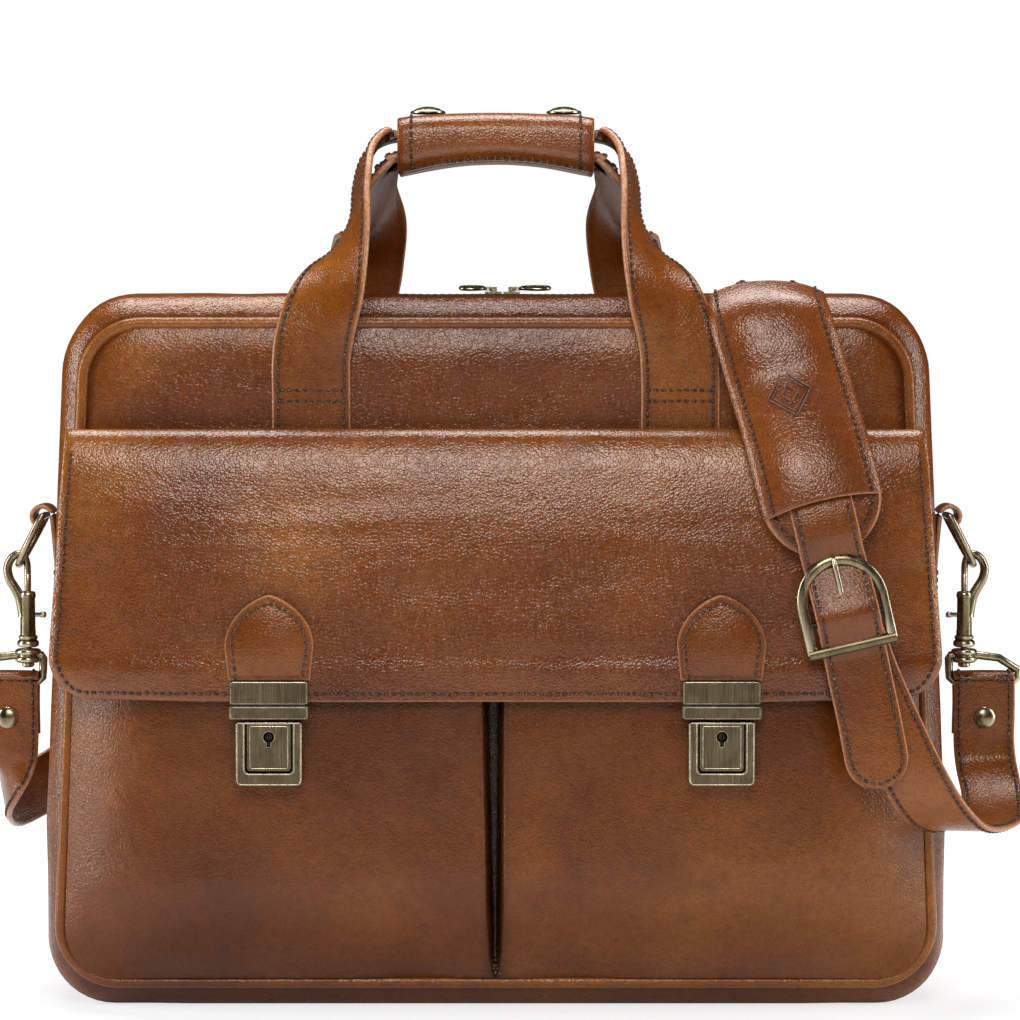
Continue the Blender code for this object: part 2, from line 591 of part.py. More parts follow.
def make_hook(tag, side, brass):
    """Snap hook: a barrel with a sprung bolt, a curved beak and a stem that turns in the swivel loop."""
    x = side * HOOK_X
    hook = rod(f"snap_hook_{tag}", (x, 0, 0.1586), (x, 0, 0.1840), 0.0034, brass)
    beak = [(3.0, 180.0), (5.5, 184.5), (8.6, 190.0), (9.0, 195.5), (6.3, 200.3), (2.6, 201.2), (0.3, 198.0), (0.0, 192.6)]
    path = [Vector((x + side * out / 1000, 0, z / 1000)) for out, z in beak]
    combine(hook, tube(f"hook_beak_{tag}", path, 0.0016, Vector((0, 1, 0)), brass), "UNION")
    combine(hook, rod(f"hook_collar_{tag}", (x, 0, 0.1586), (x, 0, 0.1640), 0.0048, brass), "UNION")
    combine(hook, rod(f"hook_bore_{tag}", (x, 0, 0.1660), (x, 0, 0.1900), 0.0018, brass), "DIFFERENCE")
    ends = sorted((x, x - side * 0.006))
    slot = [(ends[0], 0.1664), (ends[1], 0.1664), (ends[1], 0.1860), (ends[0], 0.1860)]
    combine(hook, plate(f"hook_slot_{tag}", slot, -0.0014, 0.0014, brass), "DIFFERENCE")
    combine(hook, rod(f"hook_stem_{tag}", (x, 0, 0.1500), (x, 0, 0.1600), 0.0015, brass), "UNION")
    combine(hook, rod(f"hook_head_{tag}", (x, 0, 0.1494), (x, 0, 0.1518), 0.0028, brass), "UNION")
    bolt = rod(f"hook_bolt_{tag}", (x, 0, 0.1710), (x, 0, 0.1922), 0.0015, brass)
    knob = rod(f"bolt_knob_{tag}", (x, 0, 0.1735), (x - side * 0.0080, 0, 0.1735), 0.0011, brass)
    combine(bolt, knob, "UNION")
    return hook, bolt


def make_strap_end(tag, x, leather, brass):
    """Strap folded over the swivel's bar and riveted to itself."""
    loop = arc((0.0, SWIVEL_BAR_Z), 0.0036, 180, 0, 6)
    stops = [((x, -0.0036, 0.1160), (0, -1, 0)), ((x, -0.0036, 0.1300), (0, -1, 0))]
    for y, z in loop:
        stops.append(((x, y, z), (0, y, z - SWIVEL_BAR_Z)))
    stops += [((x, 0.0036, 0.1300), (0, 1, 0)), ((x, 0.0036, 0.1190), (0, 1, 0))]
    end = ribbon(f"strap_end_{tag}", stops, STRAP_WIDTH - 0.001, STRAP_THICK, leather, steps=1)
    rivet_z = 0.1265
    hole = rod(f"rivet_hole_{tag}", (x, -0.010, rivet_z), (x, 0.010, rivet_z), 0.0024, brass)
    combine(end, hole, "DIFFERENCE")
    rivet = rod(f"rivet_{tag}", (x, -0.0065, rivet_z), (x, 0.0065, rivet_z), 0.0020, brass)
    for face in (-1, 1):
        ends = ((x, face * 0.0052, rivet_z), (x, face * 0.0068, rivet_z))
        combine(rivet, rod(f"rivet_head_{tag}_{face + 1}", *ends, 0.0050, brass), "UNION")


def make_strap(leather, foam_pad, brass):
    back = (0, 1, 0)
    rear = [
        ((-0.2240, -0.0036, 0.1145), (0, -1, 0)),
        ((-0.2243, -0.0034, 0.1090), (-0.1, -1, 0)),
        ((-0.2262, 0.0020, 0.0990), (-0.7, -0.7, 0)),
        ((-0.2280, 0.0180, 0.0900), (-1, 0, -0.2)),
        ((-0.2250, 0.0420, 0.0850), (-0.9, 0.4, -0.2)),
        ((-0.2080, 0.0630, 0.0930), (-0.5, 0.85, 0)),
        ((-0.1800, 0.0680, 0.1120), back),
        ((-0.1200, 0.0660, 0.1500), back),
        ((-0.0400, 0.0650, 0.1900), back),
        ((0.0400, 0.0650, 0.2250), back),
        ((0.0950, 0.0650, 0.2620), back),
        ((0.1220, 0.0640, 0.2960), (0, 0.95, 0.2)),
        ((0.1290, 0.0520, 0.3170), (0, 0.7, 0.7)),
        ((0.1300, 0.0250, 0.3235), (0, 0.1, 1)),
        ((0.1295, -0.0150, 0.3235), (0, -0.05, 1)),
        ((0.1290, -0.0400, 0.3225), (0, -0.2, 1)),
    ]
    ribbon("strap_rear_run", rear, STRAP_WIDTH, STRAP_THICK, leather, steps=3)
    front = (0, -1, 0)
    upper = [
        ((0.1290, -0.0460, 0.3250), (0, -0.5, 0.85)),
        ((0.1300, -0.0580, 0.3170), (0, -0.85, 0.5)),
        ((0.1320, -0.0636, 0.3000), front),
        ((0.1376, -0.0636, 0.2710), front),
    ]
    ribbon("shoulder_pad_upper", upper, PAD_WIDTH, PAD_THICK, foam_pad, steps=2)
    lower_pad = [
        ((0.1410, -0.0850, 0.2450), front),
        ((0.1440, -0.0890, 0.2260), front),
        ((0.1472, -0.0920, 0.2080), front),
    ]
    pad = ribbon("shoulder_pad_lower", lower_pad, PAD_WIDTH, PAD_THICK, foam_pad, steps=2)
    y = -0.0904
    long_run = [((0.1481, y, 0.2040), front), ((0.1590, y, 0.1540), front), ((0.1694, y, 0.1040), front)]
    run = ribbon("strap_front_run", long_run, STRAP_WIDTH, STRAP_THICK, leather)
    y = -0.0875
    under = [((0.1530, y, 0.1790), front), ((0.1640, y, 0.1500), front), ((0.1740, y, 0.1280), front)]
    short = ribbon("strap_short_run", under, STRAP_WIDTH, STRAP_THICK - 0.0002, leather)
    loop = [
        ((0.1750, -0.0870, 0.1250), front),
        ((0.1850, -0.0870, 0.1050), (0, -0.9, -0.3)),
        ((0.1960, -0.0800, 0.0900), (0, -0.6, -0.8)),
        ((0.2080, -0.0640, 0.0830), (0, -0.1, -1)),
        ((0.2230, -0.0400, 0.0840), (0.05, 0.2, -1)),
        ((0.2260, -0.0180, 0.0930), (0, 0.7, -0.7)),
        ((0.2247, -0.0070, 0.1040), (0, 0.95, -0.3)),
        ((0.2240, -0.0038, 0.1110), (0, 1, 0)),
        ((0.2240, -0.0036, 0.1145), (0, 1, 0)),
    ]
    ribbon("strap_lower_loop", loop, STRAP_WIDTH, STRAP_THICK - 0.0002, leather)
    frame, prong = make_buckle(brass)
    return [pad, run, short, frame], prong


def buckle_point(across, down, out=0.0):
    """A point of the buckle, from its bar's middle: across the strap, down along it and out from it."""
    x = across * cos(BUCKLE_TILT) + down * sin(BUCKLE_TILT)
    z = across * sin(BUCKLE_TILT) - down * cos(BUCKLE_TILT)
    return BUCKLE_BAR + Vector((x, -out, z))


def make_buckle(brass):
    """Horseshoe frame with a centre bar, and a prong that turns on the bar."""
    half = 0.0180
    outline = [(-half, 0.0125), (0.0, 0.0125), (half, 0.0125)]
    outline += [(half * cos(radians(a)), -0.008 - half * sin(radians(a))) for a in range(0, 181, 18)]
    path = [buckle_point(across, down) for across, down in outline]
    frame = tube("buckle_frame", path, 0.0016, Vector((0, 1, 0)), brass, cyclic=True)
    bar = rod("buckle_bar", buckle_point(-half, 0), buckle_point(half, 0), 0.0013, brass)
    combine(frame, bar, "UNION")
    prong = rod("buckle_prong", buckle_point(0, 0.0008, 0.0032), buckle_point(0, -0.0262, 0.0032), 0.0011, brass, 12)
    return frame, prong


def hang(name, pivot, pieces, parent=None):
    """Parents the pieces to an empty on their joint's axis, leaving them where they are."""
    axle = bpy.data.objects.new(name, None)
    bpy.context.scene.collection.objects.link(axle)
    axle.location = pivot
    if parent:
        axle.parent = parent
        axle.matrix_parent_inverse = Matrix.Translation(-parent.location)
    for piece in pieces:
        piece.parent = axle
        piece.matrix_parent_inverse = Matrix.Translation(-Vector(pivot))
    return axle


def main():
    clear_scene()
    leather = material("leather", (0.30, 0.10, 0.03), 0.5)
    pocket_leather = material("pocket_leather", (0.17, 0.06, 0.03), 0.55)
    strap_leather = material("strap_leather", (0.27, 0.09, 0.035), 0.5)
    board = material("board", (0.35, 0.28, 0.20), 0.9)
    foam = material("foam", (0.60, 0.55, 0.45), 0.95)
    tape = material("zip_tape", (0.03, 0.02, 0.015), 0.9)
    brass = material("antique_brass", (0.20, 0.16, 0.09), 0.35, 1.0)

    make_case(leather, board, tape, brass)
    make_pocket("pocket_left", -1, pocket_leather)
    make_pocket("pocket_right", 1, pocket_leather)
    flap_pieces = [make_flap(leather)]
    locks = {}
    for tag, side in (("left", -1), ("right", 1)):
        clasp, push, key = make_lock(tag, side * LOCK_X, leather, brass)
        flap_pieces += [clasp, bpy.data.objects[f"lock_tab_{tag}"]]
        locks[tag] = (side * LOCK_X, push, key)
    hang("flap_axis", (0, HINGE_Y, HINGE_Z), flap_pieces)
    for tag, (x, push, key) in locks.items():
        push_axis = hang(f"push_axis_{tag}", (x, LOCK_FRONT_Y, LOCK_TOP), [push])
        hang(f"key_axis_{tag}", (x, LOCK_FRONT_Y, KEY_Z), [key], push_axis)
    handle_pieces, leaf_pieces = make_handle(strap_leather, foam, brass)
    handle_axis = hang("handle_axis", (0, 0, HANDLE_PIVOT_Z), handle_pieces)
    hang("leaf_axis", (0, -0.0150, GRIP_FOOT), leaf_pieces, handle_axis)
    for tag, (slider, pull, x, z) in make_sliders(brass).items():
        slider_axis = hang(f"slider_axis_{tag}", (x, 0, z), [slider])
        hang(f"pull_axis_{tag}", (x, 0, z), [pull], slider_axis)
    for tag, side in (("left", -1), ("right", 1)):
        ring, hook, bolt = make_clip(tag, side, strap_leather, brass)
        hang(f"ring_axis_{tag}", (side * RING_PIVOT_X, 0, RING_PIVOT_Z), [ring])
        hook_axis = hang(f"hook_axis_{tag}", (side * HOOK_X, 0, SWIVEL_TOP_Z), [hook])
        hang(f"bolt_axis_{tag}", (side * HOOK_X, 0, 0.1710), [bolt], hook_axis)
    front_pieces, prong = make_strap(strap_leather, foam, brass)
    front_axis = hang("strap_front_axis", (0, HINGE_Y, HINGE_Z), front_pieces)
    hang("prong_axis", buckle_point(0, 0, 0.0032), [prong], front_axis)


main()
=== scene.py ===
"""The look of a leather briefcase: skins, seams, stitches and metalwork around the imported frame.

Metres, in the frame's axes: +X to the right of the front, +Y to the back, +Z up.
"""

from math import atan2, cos, exp, pi, radians, sin, sqrt

import bmesh
import bpy
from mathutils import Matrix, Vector, noise


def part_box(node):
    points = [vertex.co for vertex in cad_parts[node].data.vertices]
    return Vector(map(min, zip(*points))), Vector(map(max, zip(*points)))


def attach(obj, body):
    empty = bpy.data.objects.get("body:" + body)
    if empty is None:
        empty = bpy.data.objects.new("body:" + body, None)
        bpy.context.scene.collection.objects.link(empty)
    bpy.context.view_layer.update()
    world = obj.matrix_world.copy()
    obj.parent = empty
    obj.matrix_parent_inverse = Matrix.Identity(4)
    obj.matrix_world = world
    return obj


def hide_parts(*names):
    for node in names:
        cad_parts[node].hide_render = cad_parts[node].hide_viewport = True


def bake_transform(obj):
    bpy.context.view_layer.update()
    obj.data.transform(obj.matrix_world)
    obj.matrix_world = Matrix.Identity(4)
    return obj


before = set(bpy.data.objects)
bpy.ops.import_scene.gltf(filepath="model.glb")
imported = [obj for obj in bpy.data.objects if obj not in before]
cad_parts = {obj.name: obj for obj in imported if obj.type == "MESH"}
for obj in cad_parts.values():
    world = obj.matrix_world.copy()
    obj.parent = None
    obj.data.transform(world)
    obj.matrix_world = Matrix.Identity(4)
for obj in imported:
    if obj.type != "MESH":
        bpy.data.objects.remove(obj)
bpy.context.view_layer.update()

FRONT = Vector((0, -1, 0))
BACK = Vector((0, 1, 0))
UP = Vector((0, 0, 1))

# Positions that the frame gives
PIPE_LOW, PIPE_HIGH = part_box("piping_front")
GUSSET_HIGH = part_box("body_gusset")[1]
TOP_LOW, TOP_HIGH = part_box("top_gusset_front")
FLAP_LOW, FLAP_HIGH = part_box("flap_panel")
POCKET_LOW, POCKET_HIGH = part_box("pocket_right")
LOCK_LOW, LOCK_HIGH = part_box("lock_case_right")
CLASP_LOW, CLASP_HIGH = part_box("clasp_right")
TAB_LOW, TAB_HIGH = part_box("lock_tab_right")
GRIP_LOW, GRIP_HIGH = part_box("grip_base")
LEAF_LOW, LEAF_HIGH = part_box("grip_leaf")
PUSH_LOW, PUSH_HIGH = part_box("push_plate_right")
KEY_LOW, KEY_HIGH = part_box("key_post_right")

PIPE_R = 0.0027
CASE_TOP = PIPE_HIGH.z - PIPE_R
CASE_FOOT = PIPE_LOW.z + PIPE_R
PIPE_Y = (PIPE_LOW.y + PIPE_HIGH.y) / 2
HALF_FOOT = PIPE_HIGH.x - PIPE_R
HALF_TOP = HALF_FOOT - 0.0110
PIPE_CORNER = 0.026
GUSSET_HALF_FOOT = GUSSET_HIGH.x
GUSSET_HALF_TOP = GUSSET_HALF_FOOT - 0.010
GUSSET_TOP = TOP_HIGH.z
GUSSET_CORNER = 0.033
SEAM_Z = TOP_LOW.z
HINGE = Vector((0, -0.060, 0.255))
LOCK_X = (LOCK_LOW.x + LOCK_HIGH.x) / 2
PUSH_HALF = (PUSH_HIGH.x - PUSH_LOW.x) / 2
KEY_Z = (KEY_LOW.z + KEY_HIGH.z) / 2

STITCH_PITCH = 0.0034
STITCH_LENGTH = 0.0029
STITCH_R = 0.00070
STITCH_SIDES = 6
STITCH_RINGS = ((-0.5, 0.35), (-0.36, 0.9), (0.0, 1.1), (0.36, 0.9), (0.5, 0.35))

# How a cut edge of leather is rounded, as shares of its thickness
RIM_DEPTHS = (0.22, 0.78)
RIM_BULGE = 0.18

# A bevel too small to see, for edges that stay square
SHARP = 0.00001


# ---------------------------------------------------------------- materials

class Nodes:
    """A short way to write a node tree."""

    def __init__(self, name):
        self.material = bpy.data.materials.new(name)
        self.material.use_nodes = True
        self.tree = self.material.node_tree
        self.shader = self.tree.nodes["Principled BSDF"]

    def add(self, kind, **settings):
        node = self.tree.nodes.new(kind)
        for key, value in settings.items():
            setattr(node, key, value)
        return node

    def put(self, socket, value):
        if isinstance(value, bpy.types.NodeSocket):
            self.tree.links.new(value, socket)
        else:
            socket.default_value = value

    def noise(self, scale, detail=3.0, roughness=0.55, distortion=0.0, stretch=None):
        place = self.add("ShaderNodeTexCoord").outputs["Object"]
        if stretch:
            mapping = self.add("ShaderNodeMapping")
            mapping.inputs["Scale"].default_value = stretch
            self.put(mapping.inputs["Vector"], place)
            place = mapping.outputs["Vector"]
        node = self.add("ShaderNodeTexNoise")
        self.put(node.inputs["Vector"], place)
        self.put(node.inputs["Scale"], scale)
        self.put(node.inputs["Detail"], detail)
        self.put(node.inputs["Roughness"], roughness)
        self.put(node.inputs["Distortion"], distortion)
        return node.outputs["Fac"]

    def cells(self, scale):
        place = self.add("ShaderNodeTexCoord").outputs["Object"]
        node = self.add("ShaderNodeTexVoronoi", feature="DISTANCE_TO_EDGE")
        self.put(node.inputs["Vector"], place)
        self.put(node.inputs["Scale"], scale)
        return node.outputs["Distance"]

    def ramp(self, value, *stops):
        node = self.add("ShaderNodeValToRGB")
        points = node.color_ramp.elements
        while len(points) < len(stops):
            points.new(0.5)
        for point, (place, colour) in zip(points, stops):
            point.position = place
            point.color = (*colour, 1.0)
        self.put(node.inputs["Fac"], value)
        return node.outputs["Color"]

    def scaled(self, value, low, high, to_low=0.0, to_high=1.0):
        node = self.add("ShaderNodeMapRange")
        self.put(node.inputs["Value"], value)
        for key, number in (("From Min", low), ("From Max", high), ("To Min", to_low), ("To Max", to_high)):
            node.inputs[key].default_value = number
        return node.outputs["Result"]

    def mix(self, amount, first, second, blend="MIX"):
        node = self.add("ShaderNodeMix", data_type="RGBA", blend_type=blend)
        self.put(node.inputs["Factor"], amount)
        self.put(node.inputs["A"], first if not isinstance(first, tuple) else (*first, 1.0))
        self.put(node.inputs["B"], second if not isinstance(second, tuple) else (*second, 1.0))
        return node.outputs["Result"]

    def attribute(self, name):
        return self.add("ShaderNodeAttribute", attribute_name=name).outputs["Fac"]

    def bump(self, height, distance, strength, under=None):
        node = self.add("ShaderNodeBump")
        node.inputs["Distance"].default_value = distance
        node.inputs["Strength"].default_value = strength
        self.put(node.inputs["Height"], height)
        if under:
            self.put(node.inputs["Normal"], under)
        return node.outputs["Normal"]


def leather_colour(made, pores, deep, mid, light):
    """Mottled skin with dark pores and specks, darker where shade is painted on through the shade mark, and
    pale on raw edges.
    """
    cloud = made.noise(9.0, 3.0, 0.5, 0.4)
    patch = made.noise(46.0, 6.0, 0.62, 0.5)
    fine = made.noise(260.0, 6.0, 0.7)
    base = made.ramp(cloud, (0.30, deep), (0.50, mid), (0.70, light))
    patchy = made.ramp(patch, (0.30, (0.70, 0.64, 0.60)), (0.50, (1, 1, 1)), (0.72, (1.12, 1.10, 1.05)))
    speck = made.ramp(fine, (0.36, (0.72, 0.66, 0.62)), (0.52, (1, 1, 1)), (0.68, (1.20, 1.18, 1.12)))
    fuzz = made.ramp(made.noise(700.0, 3.0), (0.3, (0.24, 0.10, 0.045)), (0.7, (0.46, 0.23, 0.13)))
    colour = made.mix(0.50, base, patchy, "MULTIPLY")
    in_pores = made.scaled(pores, 0.0, 0.7, 0.50, 0.0)
    colour = made.mix(in_pores, colour, tuple(0.50 * part for part in deep))
    colour = made.mix(0.60, colour, speck, "MULTIPLY")
    # Painted shade: darker where the shade mark is set
    colour = made.mix(made.attribute("shade"), colour, tuple(0.30 * part for part in deep))
    return made.mix(made.attribute("edge"), colour, fuzz)


def leather_relief(made, pores, crease):
    """Bumps from the broad waves of the hide down to its grain."""
    folds = made.scaled(made.noise(70.0, 2.0, 0.5, 2.4), 0.38, 0.54)
    crinkles = made.scaled(made.noise(230.0, 2.0, 0.5, 1.6), 0.36, 0.56)
    pebble = made.scaled(made.cells(640.0), 0.0, 0.30)
    normal = None
    for height, distance, strength in (
        (made.noise(20.0, 3.0, 0.5, 0.8), 0.006, 0.20 * crease),
        (folds, 0.0008, 0.17 * crease),
        (crinkles, 0.0003, 0.13 * crease + 0.03),
        (pebble, 0.00020, 0.34),
        (pores, 0.00008, 0.22),
        (made.noise(2200.0, 2.0), 0.00006, 0.12),
    ):
        normal = made.bump(height, distance, strength, normal)
    return normal


def leather(name, deep, mid, light, roughness=0.30, crease=0.5, shine=0.45):
    """Vegetable-tanned leather: mottled colour, pebbled grain, fine creases, pale raw edges."""
    made = Nodes(name)
    pores = made.scaled(made.cells(900.0), 0.0, 0.25)
    made.put(made.shader.inputs["Base Color"], leather_colour(made, pores, deep, mid, light))
    rough = made.scaled(made.noise(60.0, 4.0), 0.25, 0.75, roughness - 0.05, roughness + 0.07)
    made.put(made.shader.inputs["Roughness"], rough)
    made.shader.inputs["Specular IOR Level"].default_value = shine
    made.shader.inputs["Specular Tint"].default_value = (1.0, 0.90, 0.80, 1.0)
    made.put(made.shader.inputs["Normal"], leather_relief(made, pores, crease))
    return made.material


def thread_material():
    """Dark waxed thread, with pale flecks along its twist that are a painted highlight."""
    made = Nodes("waxed_thread")
    twist_and_glints = made.noise(1800.0, 2.0, 0.5, 0.0, (1, 1, 1))
    # The palest stop is a painted highlight on the thread
    colour = made.ramp(
        twist_and_glints, (0.34, (0.020, 0.008, 0.005)), (0.56, (0.060, 0.026, 0.015)), (0.70, (0.30, 0.18, 0.12))
    )
    made.put(made.shader.inputs["Base Color"], colour)
    made.shader.inputs["Roughness"].default_value = 0.75
    made.shader.inputs["Specular IOR Level"].default_value = 0.2
    made.put(made.shader.inputs["Normal"], made.bump(twist_and_glints, 0.0003, 0.8))
    return made.material


def metal(name, deep, light, roughness, stretch=(1, 1, 1), polish=0.0, scale=420.0):
    """Antique brass: brushed and stained, with polish saying how pale its edges are worn."""
    made = Nodes(name)
    brushed = made.noise(scale, 4.0, 0.6, 0.0, stretch)
    stain = made.noise(130.0, 4.0, 0.6, 0.3)
    colour = made.ramp(brushed, (0.30, deep), (0.70, light))
    colour = made.mix(made.scaled(stain, 0.42, 0.62, 0.0, 0.35), colour, tuple(0.45 * part for part in deep))
    pointed = made.add("ShaderNodeNewGeometry").outputs["Pointiness"]
    worn = made.scaled(pointed, 0.515, 0.56, 0.0, polish)
    colour = made.mix(worn, colour, (0.62, 0.55, 0.40))
    made.put(made.shader.inputs["Base Color"], colour)
    made.shader.inputs["Metallic"].default_value = 1.0
    rough = made.scaled(brushed, 0.3, 0.7, roughness - 0.07, roughness + 0.10)
    made.put(made.shader.inputs["Roughness"], rough)
    made.put(made.shader.inputs["Normal"], made.bump(brushed, 0.00008, 0.35))
    return made.material


def cloth_material(name, colour, scale):
    """Plain woven cloth, ribbed along X."""
    made = Nodes(name)
    weave = made.add("ShaderNodeTexWave", wave_type="BANDS", bands_direction="X")
    made.put(weave.inputs["Vector"], made.add("ShaderNodeTexCoord").outputs["Object"])
    weave.inputs["Scale"].default_value = scale
    fibre = made.noise(1500.0, 3.0)
    made.put(made.shader.inputs["Base Color"], made.mix(fibre, colour, tuple(2.2 * part for part in colour)))
    made.shader.inputs["Roughness"].default_value = 0.9
    made.shader.inputs["Sheen Weight"].default_value = 0.3
    made.put(made.shader.inputs["Normal"], made.bump(weave.outputs["Fac"], 0.0003, 0.6))
    return made.material


FLAP_LEATHER = leather(
    "flap_leather", (0.080, 0.015, 0.002), (0.155, 0.039, 0.004), (0.250, 0.080, 0.009),
    roughness=0.22, crease=0.5, shine=0.58,
)
PANEL_LEATHER = leather(
    "panel_leather", (0.080, 0.015, 0.002), (0.140, 0.032, 0.003), (0.220, 0.064, 0.007),
    roughness=0.23, crease=0.65, shine=0.46,
)
POCKET_LEATHER = leather(
    "pocket_leather", (0.075, 0.017, 0.002), (0.130, 0.033, 0.004), (0.195, 0.060, 0.008),
    roughness=0.26, crease=0.5, shine=0.30,
)
STRAP_LEATHER = leather(
    "strap_leather", (0.095, 0.020, 0.002), (0.180, 0.047, 0.004), (0.270, 0.088, 0.010),
    roughness=0.24, crease=0.4, shine=0.40,
)
PAD_LEATHER = leather(
    "pad_leather", (0.085, 0.019, 0.002), (0.155, 0.038, 0.005), (0.225, 0.066, 0.009),
    roughness=0.23, crease=0.4, shine=0.55,
)
# Near-black leather for the punched holes: painted shade in them
HOLE_SHADE = leather(
    "punched_hole_shade", (0.020, 0.008, 0.004), (0.035, 0.014, 0.006), (0.060, 0.024, 0.010), roughness=0.7
)
PRESSED_MARK = leather(
    "pressed_mark", (0.060, 0.018, 0.008), (0.110, 0.036, 0.014), (0.150, 0.050, 0.018), roughness=0.5
)
LINING = cloth_material("lining", (0.10, 0.060, 0.035), 900)
TAPE = cloth_material("zip_tape", (0.022, 0.014, 0.010), 1100)
THREAD = thread_material()
BRUSHED = metal(
    "brushed_brass", (0.075, 0.057, 0.030), (0.190, 0.150, 0.086), 0.32, stretch=(1, 1, 0.03), scale=2400.0
)
# Pale brass for raised rims and lips: a painted highlight along them
RIM_HIGHLIGHT_BRASS = metal("rim_highlight_brass", (0.30, 0.26, 0.18), (0.52, 0.46, 0.33), 0.26)
RING_BRASS = metal(
    "ring_brass", (0.100, 0.076, 0.038), (0.270, 0.215, 0.115), 0.27, stretch=(1, 1, 0.2), polish=0.5
)
# Near-black brass: painted shade in the lock's bay and keyhole, behind its slot, in the clasp's fold and on
# the buckle's bar
SHADE_BRASS = metal("shade_brass", (0.018, 0.015, 0.010), (0.050, 0.040, 0.027), 0.38)


# ---------------------------------------------------------------- building blocks

def publish(name, points, faces, finish, marks=None, smooth=True, sharp=None):
    """A mesh object of the points and faces, with any per-point marks as attributes."""
    mesh = bpy.data.meshes.new(name)
    mesh.from_pydata([tuple(point) for point in points], [], faces)
    for key, values in (marks or {}).items():
        layer = mesh.attributes.new(key, "FLOAT", "POINT")
        layer.data.foreach_set("value", values)
    shape = bmesh.new()
    shape.from_mesh(mesh)
    bmesh.ops.recalc_face_normals(shape, faces=shape.faces)
    shape.to_mesh(mesh)
    shape.free()
    mesh.materials.append(finish)
    made = bpy.data.objects.new(name, mesh)
    bpy.context.scene.collection.objects.link(made)
    if smooth:
        mesh.shade_smooth()
    if sharp:
        mesh.set_sharp_from_angle(angle=radians(sharp))
    return made


def spline(around, t):
    a, b, c, d = around
    return 0.5 * (2 * b + (c - a) * t + (2 * a - 5 * b + 4 * c - d) * t**2 + (3 * b - a - 3 * c + d) * t**3)


def smooth_route(stops, steps):
    """Rows of vectors along a Catmull-Rom curve through the stops, each a tuple of vectors."""
    rows = []
    last = len(stops) - 1
    for index in range(last):
        near = [stops[max(index - 1, 0)], stops[index], stops[index + 1], stops[min(index + 2, last)]]
        for step in range(steps):
            rows.append(tuple(spline([Vector(part) for part in parts], step / steps) for parts in zip(*near)))
    rows.append(tuple(Vector(part) for part in stops[-1]))
    return rows


def frames_along(rows):
    """(middle, side, out) at each row of (point, face normal)."""
    found = []
    last = len(rows) - 1
    for index, (point, normal) in enumerate(rows):
        along = (rows[min(index + 1, last)][0] - rows[max(index - 1, 0)][0]).normalized()
        side = along.cross(normal).normalized()
        found.append((point, side, side.cross(along).normalized()))
    return found


def ring_faces(rings, sides, cyclic=False):
    faces = []
    for ring in range(rings if cyclic else rings - 1):
        near = ring * sides
        far = (ring + 1) % rings * sides
        for side in range(sides):
            turn = (side + 1) % sides
            faces.append((near + side, near + turn, far + turn, far + side))
    if not cyclic:
        faces.append(tuple(range(sides)))
        faces.append(tuple(range((rings - 1) * sides, rings * sides)))
    return faces


# Where the stitch furrows of a strap lie, as a share of its half width
FURROW = 0.82


def strap_section(width, thickness):
    """Section of a strap as (across, out, edge mark): crowned faces, stitch furrows and rounded edges."""
    half, thick = width / 2, thickness / 2
    half_face = [(-0.93, 0.98), (-FURROW, 0.84), (-0.70, 1.0), (-0.35, 1.08)]
    face = half_face + [(0, 1.12)] + [(-across, out) for across, out in half_face[::-1]]
    top = [(half * across, thick * out, 0.0) for across, out in face]
    right = [(half * 0.985, thick * 0.62, 0.75), (half, 0.0, 1.0), (half * 0.985, -thick * 0.62, 0.75)]
    under = [(-across, -out, mark) for across, out, mark in top]
    left = [(-across, -out, mark) for across, out, mark in right]
    return top + right + under + left


def taper_end(distance, width):
    """Share of the full width at a distance from a round tip."""
    reach = width / 2
    if distance >= reach:
        return 1.0
    return max(0.05, sqrt(max(0.0, 1 - (1 - distance / reach) ** 2)))


def strap(name, stops, width, thickness, finish, steps, round_end=False, bow=0.0):
    """A flat leather strap along a route of (point, face normal) stops. Returns it and its frames."""
    rows = smooth_route(stops, steps)
    found = frames_along(rows)
    lengths = [0.0]
    for near, far in zip(found, found[1:]):
        lengths.append(lengths[-1] + (far[0] - near[0]).length)
    section = strap_section(width, thickness)
    points, edge, shade = [], [], []
    for (middle, side, out), far in zip(found, lengths):
        share = taper_end(lengths[-1] - far, width) if round_end else 1.0
        sway = 0.00025 * noise.noise(middle * 60)
        for across, rise, mark in section:
            lift = bow * (1 - (2 * across / width) ** 2)
            points.append(middle + side * (across * share + sway) + out * (rise + lift))
            edge.append(mark)
            in_furrow = abs(abs(across) / (width / 2) - FURROW) < 0.01
            shade.append(0.25 if in_furrow else 0.0)
    made = publish(name, points, ring_faces(len(found), len(section)), finish, {"edge": edge, "shade": shade})
    made.data.set_sharp_from_angle(angle=radians(70))
    return made, found


def tube(name, path, radius, finish, cyclic, sides, across, flatten=1.0):
    """A round wire along a path, with one radius or one for each point.

    across is the normal of the plane that the path lies in.
    """
    count = len(path)
    points = []
    for index, middle in enumerate(path):
        ahead = path[(index + 1) % count] if cyclic else path[min(index + 1, count - 1)]
        behind = path[index - 1] if cyclic else path[max(index - 1, 0)]
        along = (ahead - behind).normalized()
        out = along.cross(across).normalized()
        wide = radius[index] if isinstance(radius, list) else radius
        for step in range(sides):
            angle = 2 * pi * step / sides
            points.append(middle + wide * (cos(angle) * out + flatten * sin(angle) * across))
    return publish(name, points, ring_faces(count, sides, cyclic), finish, sharp=60)


def turned(name, centre, axis, profile, finish, sides=32):
    """A turned piece: profile points are (distance along the axis, radius)."""
    axis = Vector(axis).normalized()
    first = axis.orthogonal().normalized()
    second = axis.cross(first)
    points = []
    for along, radius in profile:
        for step in range(sides):
            angle = 2 * pi * step / sides
            points.append(Vector(centre) + axis * along + radius * (cos(angle) * first + sin(angle) * second))
    return publish(name, points, ring_faces(len(profile), sides), finish, sharp=40)


